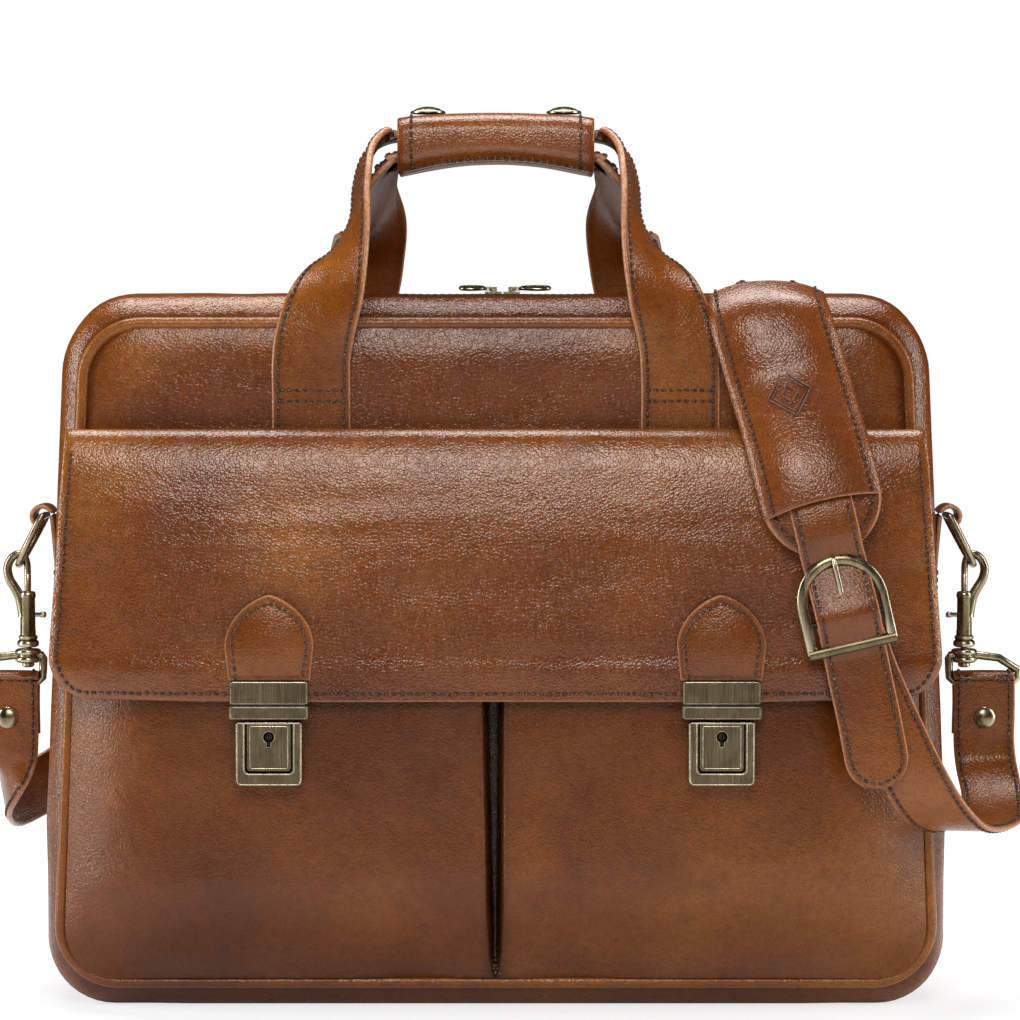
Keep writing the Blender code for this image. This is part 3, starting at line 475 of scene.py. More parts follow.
def bevelled(name, outline, front, back, bevel, finish, segments=3):
    """An outline of (x, z) points given a thickness along Y, with rounded rims."""
    count = len(outline)
    points = [(x, front, z) for x, z in outline] + [(x, back, z) for x, z in outline]
    faces = [tuple(range(count)), tuple(range(2 * count - 1, count - 1, -1))]
    for index in range(count):
        turn = (index + 1) % count
        faces.append((index, count + index, count + turn, turn))
    made = publish(name, points, faces, finish, smooth=False)
    step = made.modifiers.new("Rims", "BEVEL")
    step.width = bevel
    step.segments = segments
    step.limit_method = "ANGLE"
    step.angle_limit = radians(40)
    return made


def bake_modifiers(made):
    """The evaluated mesh becomes the object's own, so that later steps see its final shape."""
    graph = bpy.context.evaluated_depsgraph_get()
    final = bpy.data.meshes.new_from_object(made.evaluated_get(graph))
    made.modifiers.clear()
    made.data = final
    return made


def cut(made, cutter):
    """Take the cutter's volume out of a piece, and the cutter out of the scene."""
    step = made.modifiers.new("Cut", "BOOLEAN")
    step.operation = "DIFFERENCE"
    step.object = cutter
    step.solver = "EXACT"
    bake_modifiers(made)
    bpy.data.objects.remove(cutter, do_unlink=True)
    return made


def merge(name, parts):
    """Several meshes made into one piece. The first one's materials come first."""
    shape = bmesh.new()
    finishes = []
    for part in parts:
        graph = bpy.context.evaluated_depsgraph_get()
        evaluated = part.evaluated_get(graph).to_mesh()
        start = len(shape.faces)
        shape.from_mesh(evaluated)
        shape.faces.ensure_lookup_table()
        offset = len(finishes)
        for face in shape.faces[start:]:
            face.material_index += offset
        finishes += list(part.data.materials)
        part.evaluated_get(graph).to_mesh_clear()
    mesh = bpy.data.meshes.new(name)
    shape.to_mesh(mesh)
    shape.free()
    for finish in finishes:
        mesh.materials.append(finish)
    for part in parts:
        bpy.data.objects.remove(part, do_unlink=True)
    made = bpy.data.objects.new(name, mesh)
    bpy.context.scene.collection.objects.link(made)
    return made


def sheet(name, grid, thickness, finish, shade=None, raw=(1, 1, 1, 1)):
    """A closed piece of leather from a grid of outer points, with rounded rims.

    raw says how much of the pale cut edge shows on the first row, last row, first column and last column.
    """
    rows, columns = len(grid), len(grid[0])
    normals = grid_normals(grid)
    points = [point for row in grid for point in row]
    under = len(points)
    shades = [shade(point) if shade else 0.0 for point in points] + [0.0] * under
    for line, outward in zip(grid, normals):
        points += [point - normal * thickness for point, normal in zip(line, outward)]
    edge = [0.0] * len(points)
    faces = []
    for row in range(rows - 1):
        for column in range(columns - 1):
            a = row * columns + column
            b, c, d = a + 1, a + columns + 1, a + columns
            faces.append((a, b, c, d))
            faces.append((under + d, under + c, under + b, under + a))
    border = [(0, column, 0) for column in range(columns)]
    border += [(row, columns - 1, 3) for row in range(1, rows)]
    border += [(rows - 1, column, 1) for column in range(columns - 2, -1, -1)]
    border += [(row, 0, 2) for row in range(rows - 2, 0, -1)]
    count = len(border)
    rims = []
    for share in RIM_DEPTHS:
        ring = []
        for index, (row, column, which) in enumerate(border):
            before = border[index - 1]
            after = border[(index + 1) % count]
            along = grid[after[0]][after[1]] - grid[before[0]][before[1]]
            out = along.cross(normals[row][column]).normalized()
            inner = grid[min(max(row, 1), rows - 2)][min(max(column, 1), columns - 2)]
            if out.dot(grid[row][column] - inner) < 0:
                out = -out
            ring.append(len(points))
            spot = grid[row][column] - normals[row][column] * thickness * share
            points.append(spot + out * thickness * RIM_BULGE)
            edge.append(raw[which])
            shades.append(0.0)
        rims.append(ring)
    for index in range(count):
        turn = (index + 1) % count
        top_a = border[index][0] * columns + border[index][1]
        top_b = border[turn][0] * columns + border[turn][1]
        faces.append((top_b, top_a, rims[0][index], rims[0][turn]))
        faces.append((rims[0][turn], rims[0][index], rims[1][index], rims[1][turn]))
        faces.append((rims[1][turn], rims[1][index], under + top_a, under + top_b))
    return publish(name, points, faces, finish, {"edge": edge, "shade": shades})


def grid_normals(grid):
    """The unit normal of a grid of points at each of them."""
    rows, columns = len(grid), len(grid[0])
    normals = []
    for row in range(rows):
        line = []
        for column in range(columns):
            across = grid[row][min(column + 1, columns - 1)] - grid[row][max(column - 1, 0)]
            along = grid[min(row + 1, rows - 1)][column] - grid[max(row - 1, 0)][column]
            line.append(across.cross(along).normalized())
        normals.append(line)
    return normals


def stitches(name, lines, body=None, pitch=STITCH_PITCH, length=STITCH_LENGTH):
    """A row of thread stitches along each line of (point, outward normal)."""
    points, faces = [], []
    for line in lines:
        for spot, along, out in spaced(line, pitch):
            turn = 0.16 * (noise.noise(spot * 900) + 0.6)
            side = along.cross(out).normalized()
            lean = (along * cos(turn) + side * sin(turn)).normalized()
            side = lean.cross(out).normalized()
            start = len(points)
            for share, wide in STITCH_RINGS:
                sink = -STITCH_R * (0.9 if abs(share) == 0.5 else 0.0)
                middle = spot + lean * share * length + out * (sink + STITCH_R * 0.35)
                for step in range(STITCH_SIDES):
                    angle = 2 * pi * step / STITCH_SIDES
                    points.append(middle + STITCH_R * wide * (cos(angle) * side + sin(angle) * out))
            for face in ring_faces(len(STITCH_RINGS), STITCH_SIDES):
                faces.append(tuple(start + corner for corner in face))
    made = publish(name, points, faces, THREAD)
    if body:
        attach(made, body)
    return made


def spaced(line, pitch):
    """Spots every pitch along a line of (point, normal), with the direction of travel."""
    spots = []
    carried = pitch / 2
    for (a, na), (b, nb) in zip(line, line[1:]):
        gap = (b - a).length
        if gap < 1e-9:
            continue
        along = (b - a) / gap
        while carried < gap:
            share = carried / gap
            spots.append((a + along * carried, along, (na * (1 - share) + nb * share).normalized()))
            carried += pitch
        carried -= gap
    return spots


def arc(centre, radius, start, end, steps):
    """Points of a circle's arc between two angles in degrees."""
    return [
        (centre[0] + radius * cos(radians(start + (end - start) * i / steps)),
         centre[1] + radius * sin(radians(start + (end - start) * i / steps)))
        for i in range(steps + 1)
    ]


def finish_piece(made, body, slot, *nodes):
    """Put a piece on its body, in place of the frame's nodes; slot is not used."""
    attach(made, body)
    if nodes:
        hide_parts(*nodes)
    return made


def share_of(value, low, high):
    """How far a value lies from low to high, kept within 0 and 1."""
    return max(0.0, min(1.0, (value - low) / (high - low)))


def beading(name, outline, y, radius, sides=6):
    """A fine raised line along an outline of (x, z), in pale metal that paints a highlight on it."""
    path = [Vector((x, y, z)) for x, z in outline]
    return tube(name, path, radius, RIM_HIGHLIGHT_BRASS, True, sides, BACK)


# ---------------------------------------------------------------- the case

OUTLINE_STEPS = 12


def case_outline(half_top, half_foot, top, foot, corner):
    """Right half of a case outline as (x, z), from the middle of the base up to the middle of the top."""
    base = [(0.1 * index * (half_foot - corner), foot) for index in range(10)]
    low = arc((half_foot - corner, foot + corner), corner, -90, 0, OUTLINE_STEPS)
    high = arc((half_top - corner, top - corner), corner, 0, 90, OUTLINE_STEPS)
    start, end = Vector(low[-1]), Vector(high[0])
    side = [tuple(start + (end - start) * (0.1 * index)) for index in range(1, 10)]
    crown = [(0.1 * index * (half_top - corner), top) for index in range(9, -1, -1)]
    return base + low + side + high + crown


def cut_at_seam(outline):
    """The outline below the seam and above it, both with a point right on the seam."""
    for index, (near, far) in enumerate(zip(outline, outline[1:])):
        if near[1] <= SEAM_Z < far[1]:
            share = (SEAM_Z - near[1]) / (far[1] - near[1])
            seam = (near[0] + (far[0] - near[0]) * share, SEAM_Z)
            return outline[:index + 1] + [seam], [seam] + outline[index + 1:]


INNER = case_outline(HALF_TOP, HALF_FOOT, CASE_TOP, CASE_FOOT, PIPE_CORNER)
OUTER = case_outline(GUSSET_HALF_TOP, GUSSET_HALF_FOOT, GUSSET_TOP, 0.0, GUSSET_CORNER)
INNER_LOW, INNER_HIGH = cut_at_seam(INNER)
OUTER_LOW, OUTER_HIGH = cut_at_seam(OUTER)
GUSSET_EDGE_Y = GUSSET_HIGH.y
GUSSET_EDGES = (0.4, 0.4, 0, 0)
GUSSET_THICK = 0.0024
TOP_THICK = 0.0022
TOP_BULGE = 0.0030


def side_fold(x, z):
    """How much a side of the gusset draws in where it folds above the base, up to 1."""
    return max(0.0, 1 - abs(z - 0.045) / 0.035) if abs(x) > 0.15 else 0.0


def gusset_point(near, far, share):
    """A point of the gusset at a share of the half depth, between its piping and its outer line."""
    swell = min(1.0, (1 - abs(share) ** 4) / 0.62) ** 0.9
    swell *= 1 - 0.35 * side_fold(*near)
    x, z = Vector(near) + (Vector(far) - Vector(near)) * swell
    point = Vector((x, share * GUSSET_EDGE_Y, z))
    inward = Vector((-x * 0.9, 0, 0.16 - z)).normalized()
    slack = 0.0013 * noise.noise(point * 17) + 0.0005 * noise.noise(point * 55) + 0.0006
    return point + inward * max(0.0, slack) * share_of(point.z, 0.012, 0.042) * (1 - abs(share) ** 6)


def gusset_grid(inner, outer, shares):
    """Rows of gusset points for shares of the half depth, swelling from the piping to the outer line."""
    return [[gusset_point(near, far, share) for share in shares] for near, far in zip(inner, outer)]


def gusset_shade(point):
    """Dark in the crease beside the piping."""
    return 0.85 * max(0.0, 1 - abs(GUSSET_EDGE_Y - abs(point.y)) / 0.005)


def mirrored_rows(grid):
    return [[Vector((-p.x, p.y, p.z)) for p in row] for row in grid]


def make_top_gusset(tag, side):
    """One half of the top, from the piping to the zip, bulging beside the zip."""
    zip_share = abs(TOP_HIGH.y) / GUSSET_EDGE_Y
    shares = sorted(side * (1 - (1 - zip_share) * index / 12) for index in range(13))
    right = gusset_grid(INNER_HIGH, OUTER_HIGH, shares)
    grid = right + mirrored_rows(right)[::-1][1:]
    for row in grid:
        for point in row:
            crown = max(0.0, 1 - ((abs(point.y) - 0.023) / 0.0165) ** 2)
            point.z += TOP_BULGE * crown * share_of(point.z, 0.295, 0.315)
    made = sheet(f"Gusset_top_{tag}", grid, TOP_THICK, PANEL_LEATHER, gusset_shade, GUSSET_EDGES)
    finish_piece(made, "bag", "case_leather", f"top_gusset_{tag}")
    column = -3 if side < 0 else 2
    line = [(row[column], normal[column]) for row, normal in zip(grid, grid_normals(grid))]
    middle = [spot for spot in line if spot[0].z > GUSSET_TOP - 0.012]
    stitches(f"Stitch_zip_{tag}", [middle], "bag")


def make_gussets():
    shares = [-1 + index / 14 for index in range(29)]
    right = gusset_grid(INNER_LOW, OUTER_LOW, shares)
    grid = mirrored_rows(right)[::-1] + right[1:]
    body = sheet("Gusset_body", grid, GUSSET_THICK, PANEL_LEATHER, gusset_shade, GUSSET_EDGES)
    finish_piece(body, "bag", "case_leather", "body_gusset")
    make_top_gusset("front", -1)
    make_top_gusset("rear", 1)


def half_width_at(outline, z):
    """Half width of an outline at a height."""
    for near, far in zip(outline, outline[1:]):
        if near[1] <= z <= far[1] and far[1] > near[1]:
            return near[0] + (far[0] - near[0]) * (z - near[1]) / (far[1] - near[1])
    return outline[len(outline) // 2][0]


def panel_heights(low, high, steps):
    """Heights from low to high, closer together near both ends."""
    return [low + (high - low) * (0.5 - 0.5 * cos(pi * index / steps)) for index in range(steps + 1)]


def panel_shade(outline, side):
    """Dark in the crease along the piping and, in front, behind the gap between the pockets."""
    def shade(point):
        rim = half_width_at(outline, point.z) - abs(point.x)
        ends = min(point.z - CASE_FOOT, CASE_TOP - point.z)
        amount = 0.8 * max(0.0, 1 - min(rim, ends) / 0.0035)
        if side < 0 and point.z < POCKET_HIGH.z:
            amount = max(amount, 0.97 * max(0.0, min(1.0, (0.012 - abs(point.x)) / 0.004)))
        return amount
    return shade


PANEL_INSET = 0.0012
PANEL_COLUMNS = 64
PANEL_ROWS = 56
PANEL_PUFF = 0.0030
PANEL_THICK = 0.0022


def make_panel(tag, side):
    """A front or back panel, softly padded, with the round piping along its rim."""
    outline = case_outline(
        HALF_TOP - PANEL_INSET, HALF_FOOT - PANEL_INSET, CASE_TOP - PANEL_INSET, CASE_FOOT + PANEL_INSET,
        PIPE_CORNER - PANEL_INSET,
    )
    hair = 1e-5
    grid = []
    for z in panel_heights(CASE_FOOT + PANEL_INSET + hair, CASE_TOP - PANEL_INSET - hair, PANEL_ROWS):
        half = half_width_at(outline, z)
        row = []
        for column in range(PANEL_COLUMNS + 1):
            x = (2 * column / PANEL_COLUMNS - 1) * half * -side
            inside = min(1.0, (half - abs(x)) / 0.020, (z - CASE_FOOT) / 0.020, (CASE_TOP - z) / 0.016)
            inside = max(0.0, inside)
            broad = noise.noise(Vector((x * 14, side, z * 22)))
            small = noise.noise(Vector((x, 0, z)) * 60)
            puff = PANEL_PUFF * (1 - (1 - inside) ** 2) + (0.0011 * broad + 0.0004 * small) * inside
            row.append(Vector((x, side * (abs(PIPE_Y) + 0.0004 + puff), z)))
        grid.append(row)
    made = sheet(f"Panel_{tag}", grid, PANEL_THICK, PANEL_LEATHER, panel_shade(outline, side), (0, 0, 0, 0))
    finish_piece(made, "bag", "case_leather", f"{tag}_panel")
    path = [Vector((x, side * abs(PIPE_Y), z)) for x, z in INNER + [(-x, z) for x, z in INNER[-2:0:-1]]]
    pipe = tube(f"Piping_{tag}", path, PIPE_R, STRAP_LEATHER, True, 16, BACK)
    finish_piece(pipe, "bag", "case_leather", f"piping_{tag}")


def recolour(node, finish):
    """Give a piece that stays as the frame has it a finish of this scene."""
    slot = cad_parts[node].material_slots[0]
    slot.link = "OBJECT"
    slot.material = finish


TOOTH_PITCH = 0.0026
TOOTH_LENGTH = 0.0019
TOOTH_LEAN = 0.0008


def make_zip():
    """Teeth that lean to either side by turns; the tape stays as the frame has it."""
    recolour("zip_tape", TAPE)
    low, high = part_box("zip_teeth")
    points, faces = [], []
    for index in range(int((high.x - low.x) / TOOTH_PITCH)):
        x = low.x + TOOTH_PITCH * (index + 0.5)
        lean = TOOTH_LEAN if index % 2 else -TOOTH_LEAN
        for z, wide, deep in (
            (low.z - 0.0008, 0.00085, TOOTH_LENGTH),
            (high.z - 0.0008, 0.0006, TOOTH_LENGTH * 0.85),
        ):
            for across, along in ((-1, -1), (1, -1), (1, 1), (-1, 1)):
                points.append(Vector((x + across * wide, lean + along * deep, z)))
        start = 8 * index
        for face in ring_faces(2, 4):
            faces.append(tuple(start + corner for corner in face))
    teeth = publish("Zip_teeth", points, faces, BRUSHED, smooth=False)
    finish_piece(teeth, "bag", "antique_brass", "zip_teeth")


# ---------------------------------------------------------------- front pockets

POCKET_BASE_Y = -0.0529
POCKET_FOOT = POCKET_LOW.z - 0.0025
POCKET_DEPTH = POCKET_BASE_Y - POCKET_LOW.y
POCKET_CORNER_TALL = 0.024
POCKET_CORNER_WIDE = 0.022
POCKET_THICK = 0.0020

# Shares of the pocket's width and height over which its belly rises
BELLY_EDGE = 0.30
BELLY_FOLD = 0.022
BELLY_FOOT = 0.24


def pocket_point(side, share, up):
    """A point of a pocket's outer face: share 0 at the outer edge to 1 at the fold, up 0 to 1."""
    z = POCKET_FOOT + (POCKET_HIGH.z - POCKET_FOOT) * up
    half = HALF_FOOT + (HALF_TOP - HALF_FOOT) * up * 0.75
    corner = max(0.0, 1 - (z - POCKET_FOOT) / POCKET_CORNER_TALL)
    edge = half - 0.0014 - POCKET_CORNER_WIDE * (1 - sqrt(max(0.0, 1 - corner**2)))
    open_up = share_of(up, 0.10, 0.60)
    fold_x = 0.0001 + 0.0006 * open_up if side > 0 else 0.0006 + 0.0024 * open_up
    x = side * (edge + (fold_x - edge) * share)
    outer = 1 - (1 - min(share / BELLY_EDGE, 1)) ** 2
    fold = (1 - (1 - min((1 - share) / BELLY_FOLD, 1)) ** 2) ** 0.6
    foot = 1 - (1 - min(up / BELLY_FOOT, 1)) ** 2.2
    mouth = 1 - 0.42 * max(0.0, (up - 0.50) / 0.50) ** 1.6
    depth = POCKET_DEPTH * outer * foot * mouth * fold
    sink = POCKET_DEPTH * 0.06 * exp(-((share - 0.80) / 0.12) ** 2) * (1 - up)
    return Vector((x, POCKET_BASE_Y - depth + sink, z))


def pocket_shade(point):
    """Painted shade beside the fold and painted shadow under the flap's edge; patchily darker towards the
    foot.
    """
    foot = 0.14 * max(0.0, 1 - (point.z - POCKET_LOW.z) / 0.05) * (0.5 + noise.noise(point * 24))
    # Painted shade in the fold between the pockets
    fold = 0.5 * max(0.0, 1 - (abs(point.x) - POCKET_LOW.x) / 0.0035)
    # Painted shadow under the flap's lower edge
    flap = 0.45 * max(0.0, 1 - max(0.0, FLAP_LOW.z - point.z) / 0.014)
    return min(1.0, foot + fold + flap)


def make_pocket(tag, side):
    """One bellied pocket, slack and creased away from its edges."""
    columns = [0.5 - 0.5 * cos(pi * index / 60) for index in range(61)]
    rows = panel_heights(0.0, 1.0, 64)
    grid = []
    for up in rows:
        row = []
        for share in columns:
            point = pocket_point(side, share, up)
            rim = min(1.0, share / 0.12, (1 - share) / 0.10, up / 0.12)
            broad = noise.noise(Vector((point.x * 13 + 4, 2.0 * side, point.z * 17)))
            small = noise.noise(Vector((point.x * 42, 5.0 * side, point.z * 30)))
            creased = abs(noise.noise(Vector((point.x * 28 + 9, 1.0 * side, point.z * 60))))
            point.y += max(0.0, rim) * (0.0010 * broad + 0.0004 * small - 0.0006 * creased + 0.0004)
            row.append(point)
        grid.append(row)
    if side > 0:
        grid = [row[::-1] for row in grid]
    made = sheet(f"Pocket_{tag}", grid, POCKET_THICK, POCKET_LEATHER, pocket_shade, (0, 0.6, 0, 0))
    finish_piece(made, "bag", "pocket_leather", f"pocket_{tag}")


TACK_HALF = 0.0032
TACK_HEIGHT = 0.0055


def make_pockets():
    """Both pockets, and the small crossed box of stitches that holds the fold between them."""
    make_pocket("left", -1)
    make_pocket("right", 1)
    foot = POCKET_LOW.z + 0.0005
    left, right, top = -TACK_HALF, TACK_HALF, TACK_HEIGHT
    border = [(left, 0), (right, 0), (right, top), (left, top), (left, 0)]
    corners = border + [(right, top), (right, 0), (left, top)]
    spots = [(Vector((x, POCKET_BASE_Y - 0.0016, foot + z)), FRONT) for x, z in corners]
    lines = [[start, end] for start, end in zip(spots, spots[1:])]
    stitches("Stitch_pocket_tack", lines, "bag", 0.0021, 0.0018)


# ---------------------------------------------------------------- flap

FLAP_THICK = 0.0028
FLAP_FACE_Y = -0.0853
FLAP_CORNER = 0.020
FLAP_HALF_TOP = 0.1892
FLAP_HALF_FOOT = FLAP_HIGH.x + 0.0056
FLAP_SEAM_INSET = 0.0031
FLAP_SEAM_STEPS = 80
FLAP_STOPS = [
    (-0.0600, 0.2525), (-0.0608, 0.2570), (-0.0632, 0.2596), (-0.0676, 0.2600), (-0.0724, 0.2556),
    (-0.0768, 0.2450), (-0.0802, 0.2270), (-0.0821, 0.2110), (-0.0834, 0.1950), (-0.0846, 0.1700),
    (FLAP_FACE_Y, 0.1420),
]


def flap_down(z):
    """Share of the way from the hinge down to the flap's lower edge."""
    return (HINGE.z - z) / (HINGE.z - FLAP_LOW.z)


def flap_rise(z):
    """1 at the flap's lower edge, down to 0 where its round corners end."""
    return max(0.0, FLAP_LOW.z + FLAP_CORNER - z) / FLAP_CORNER


def flap_half_width(z):
    half = FLAP_HALF_TOP + (FLAP_HALF_FOOT - FLAP_HALF_TOP) * min(1.0, max(0.0, flap_down(z)) * 1.15)
    return half - FLAP_CORNER * (1 - sqrt(max(0.0, 1 - min(flap_rise(z), 1.0) ** 2)))


def flap_point(share, y, z):
    """A point of the flap's outer face, at a share of its half width."""
    half = flap_half_width(z)
    down = flap_down(z)
    x = half * share
    crown = 0.0075 * abs(share) ** 6 * min(1.0, max(0.0, down * 2))
    soft = 0.00075 * noise.noise(Vector((x * 11, 3, z * 19)))
    soft += 0.00028 * noise.noise(Vector((x * 37, 7, z * 45)))
    pucker = 0.00030 * noise.noise(Vector((x * 16, 11, z * 120)))
    rim = min(1.0, (half - abs(x)) / 0.012)
    return Vector((x, y + crown + (soft + pucker) * rim * min(1.0, down * 4), z))


def flap_line():
    """The flap's middle line from its lower edge up and over to the hinge."""
    profile = [(Vector((0, y, z)),) for y, z in FLAP_STOPS]
    line = [row[0] for row in smooth_route(profile, 8)][::-1]
    low = []
    for index in range(7):
        z = FLAP_LOW.z + 0.00005 + FLAP_CORNER * (1 - cos(pi / 2 * index / 7))
        low.append(Vector((0, FLAP_FACE_Y, z)))
    return low + [spot for spot in line if spot.z > low[-1].z + 0.0008 or spot.y > -0.08]


def flap_side_seam(line, side):
    """The seam down one side of the flap, from above to its lower edge."""
    run = []
    for spot in line[::-1]:
        if spot.y < -0.0745 and spot.z > FLAP_LOW.z + FLAP_SEAM_INSET:
            near = FLAP_SEAM_INSET * (1.0 + 0.25 * flap_rise(spot.z))
            share = side * (1 - near / flap_half_width(spot.z))
            run.append((flap_point(share, spot.y, spot.z), Vector((0.02 * side, -1, 0))))
    return run


def make_flap():
    line = flap_line()
    columns = [-1 + index / 48 for index in range(97)]
    grid = [[flap_point(share, spot.y, spot.z) for share in columns] for spot in line]
    made = sheet("Flap", grid, FLAP_THICK, FLAP_LEATHER, raw=(1, 0, 1, 1))
    finish_piece(made, "flap", "case_leather", "flap_panel")
    left, right = flap_side_seam(line, -1), flap_side_seam(line, 1)
    z = FLAP_LOW.z + FLAP_SEAM_INSET
    start, end = left[-1][0].x, right[-1][0].x
    middle = []
    for index in range(1, FLAP_SEAM_STEPS):
        x = start + (end - start) * index / FLAP_SEAM_STEPS
        middle.append((flap_point(x / flap_half_width(z), FLAP_FACE_Y, z), FRONT))
    stitches("Stitch_flap", [left + middle + right[::-1]], "flap")


# ---------------------------------------------------------------- locks

def arch_outline(half, foot, top, shoulder, steps=10):
    """A tab's outline under a slightly pointed arch, as (x, z) about x = 0, a little narrower at its foot."""
    rise = []
    for index in range(steps + 1):
        angle = pi / 2 * index / steps
        rise.append((half * cos(angle) ** 1.42, shoulder + (top - shoulder) * sin(angle)))
    narrow = half - 0.0017
    return [(-narrow, foot), (narrow, foot)] + rise + [(-x, z) for x, z in rise[-2::-1]]


TAB_RIM = 0.0012

# Rings of a tab from its back to its face: inset as shares of its rim, rise as shares of its thickness,
# and how much of the raw edge shows
TAB_RINGS = (
    (0.0, 0.0, 0.6), (0.0, 0.35, 1.0), (0.0, 0.65, 1.0), (0.25, 0.92, 0.5), (1.0, 1.02, 0.0),
    (1.9, 0.90, 0.0), (2.6, 1.02, 0.0),
)


def pillow(name, outline, y_back, thick, finish):
    """A leather tab lying against a surface: flat, with a rounded raw edge."""
    count = len(outline)
    middle_x = sum(x for x, z in outline) / count
    middle_z = sum(z for x, z in outline) / count
    points, edge = [], []
    for inset, rise, mark in TAB_RINGS:
        for x, z in outline:
            to = Vector((middle_x - x, middle_z - z)).normalized() * (inset * TAB_RIM)
            points.append(Vector((x + to.x, y_back - thick * rise, z + to.y)))
            edge.append(mark)
    return publish(name, points, ring_faces(len(TAB_RINGS), count), finish, {"edge": edge}, sharp=50)


def rectangle(x, half, low, high, round_low=0.0, round_high=0.0):
    """An upright rectangle as (x, z), with its lower and upper corners rounded if asked."""
    steps = 5
    corners = []
    if round_low:
        corners += arc((x - half + round_low, low + round_low), round_low, 180, 270, steps)
        corners += arc((x + half - round_low, low + round_low), round_low, 270, 360, steps)
    else:
        corners += [(x - half, low), (x + half, low)]
    if round_high:
        corners += arc((x + half - round_high, high - round_high), round_high, 0, 90, steps)
        corners += arc((x - half + round_high, high - round_high), round_high, 90, 180, steps)
    else:
        corners += [(x + half, high), (x - half, high)]
    return corners


def box_at(name, low, high, finish):
    outline = [(low[0], low[2]), (high[0], low[2]), (high[0], high[2]), (low[0], high[2])]
    return bevelled(name, outline, low[1], high[1], 0.0002, finish, 1)


def keyhole_outline(x, z, radius, half, reach):
    """A round hole with a slot below it, as (x, z)."""
    dip = sqrt(radius**2 - half**2)
    turn = atan2(-dip, half) * 180 / pi
    return arc((x, z), radius, turn, 180 - turn, 20) + [(x - half, z - reach), (x + half, z - reach)]


def cut_out(made, outline, front, back):
    """Take a straight-sided hole with an outline of (x, z) out of a piece."""
    cutter = bevelled("cutter", outline, front, back, SHARP, SHADE_BRASS)
    bake_modifiers(cutter)
    cut(made, cutter)


PUSH_GAP = 0.0009
PUSH_FACE_Y = PUSH_LOW.y + 0.0004
KEY_FACE_Y = PUSH_FACE_Y + 0.0012
BEAD_LIFT = 0.0002
CUT_MARGIN = 0.001
KEYHOLE_R = 0.0024
KEYHOLE_HALF = 0.0008
KEYHOLE_REACH = 0.0042
KEYHOLE_LIP = 0.0002
KEY_R = 0.0020


def make_lock_case(tag, x):
    """The lock's plate, with a sunk bay for the sliding push and raised lines round both."""
    name = f"Lock_case_{tag}"
    face, low, high = LOCK_LOW.y, LOCK_LOW.z, LOCK_HIGH.z
    half = (LOCK_HIGH.x - LOCK_LOW.x) / 2
    bay_half = PUSH_HALF + PUSH_GAP
    bay_foot = PUSH_LOW.z - PUSH_GAP
    floor_y = PUSH_HIGH.y + 0.0021
    case = bevelled(name, rectangle(x, half, low, high, 0.0022, 0.0008), face, LOCK_HIGH.y, 0.0006, BRUSHED)
    bake_modifiers(case)
    cut_out(case, rectangle(x, bay_half, bay_foot, high + 0.002, 0.0020, 0.0005), face - CUT_MARGIN, floor_y)
    # A near-black floor for the sunk bay: painted shade in it
    floor_low = (x - bay_half, floor_y - 0.0002, bay_foot)
    floor_high = (x + bay_half, floor_y + 0.0001, high - 0.001)
    floor = box_at("floor", floor_low, floor_high, SHADE_BRASS)
    bay_line = rectangle(x, bay_half + 0.0005, bay_foot - 0.0005, high - 0.0002, 0.0022, 0.0003)
    plate_line = rectangle(x, half - 0.0006, low + 0.0006, high - 0.0002, 0.0020, 0.0006)
    rims = [
        beading("bay rim", bay_line, face + BEAD_LIFT, 0.00040, 8),
        beading("plate rim", plate_line, face + BEAD_LIFT, 0.00035, 8),
    ]
    whole = merge(name, [case, floor] + rims)
    finish_piece(whole, "bag", "antique_brass", f"lock_case_{tag}")


def make_push(tag, x):
    """The sliding plate, with a keyhole and a raised line along its border."""
    name = f"Push_{tag}"
    front = PUSH_FACE_Y
    plate = rectangle(x, PUSH_HALF, PUSH_LOW.z, PUSH_HIGH.z, 0.0014, 0.0004)
    push = bevelled(name, plate, front, PUSH_HIGH.y, 0.0005, BRUSHED)
    bake_modifiers(push)
    start = front - CUT_MARGIN
    bore = turned("bore", (x, start, KEY_Z), BACK, [(0, KEYHOLE_R), (0.006, KEYHOLE_R)], SHADE_BRASS, 28)
    cut(push, bore)
    cut_out(push, rectangle(x, KEYHOLE_HALF, KEY_Z - KEYHOLE_REACH, KEY_Z), start, front + 0.002)
    lip = keyhole_outline(
        x, KEY_Z, KEYHOLE_R + KEYHOLE_LIP, KEYHOLE_HALF + KEYHOLE_LIP, KEYHOLE_REACH + KEYHOLE_LIP
    )
    ring = beading("ring", lip, front, 0.00028)
    inset = 0.0012
    border = rectangle(x, PUSH_HALF - inset, PUSH_LOW.z + inset, PUSH_HIGH.z - inset, 0.0010, 0.0005)
    line = beading("line", border, front + 0.0001, 0.00026)
    # A near-black sheet behind the keyhole's slot: painted shade
    slot = rectangle(x, KEYHOLE_HALF, KEY_Z - KEYHOLE_REACH, KEY_Z - KEYHOLE_REACH + 0.0020)
    shade = bevelled("shade", slot, front + 0.0012, front + 0.0016, SHARP, SHADE_BRASS)
    whole = merge(name, [push, ring, line, shade])
    finish_piece(whole, f"push_{tag}", "antique_brass", f"push_plate_{tag}")


def make_key(tag, x):
    """The turning post in the keyhole, with a slit for the key, near black as painted shade in the hole."""
    reach = KEY_HIGH.y - KEY_FACE_Y
    profile = [(0, 0.0009), (0.0001, 0.0016), (0.0005, KEY_R), (reach, KEY_R)]
    post = turned(f"Key_{tag}", (x, KEY_FACE_Y, KEY_Z), BACK, profile, SHADE_BRASS, 28)
    slit = rectangle(x, 0.0004, KEY_Z - 0.0014, KEY_Z + 0.0014)
    cut_out(post, slit, PUSH_FACE_Y, PUSH_FACE_Y + 0.0030)
    finish_piece(post, f"key_{tag}", "antique_brass", f"key_post_{tag}")


CLASP_STEP = 0.0105
CLASP_BEAD = 0.00028


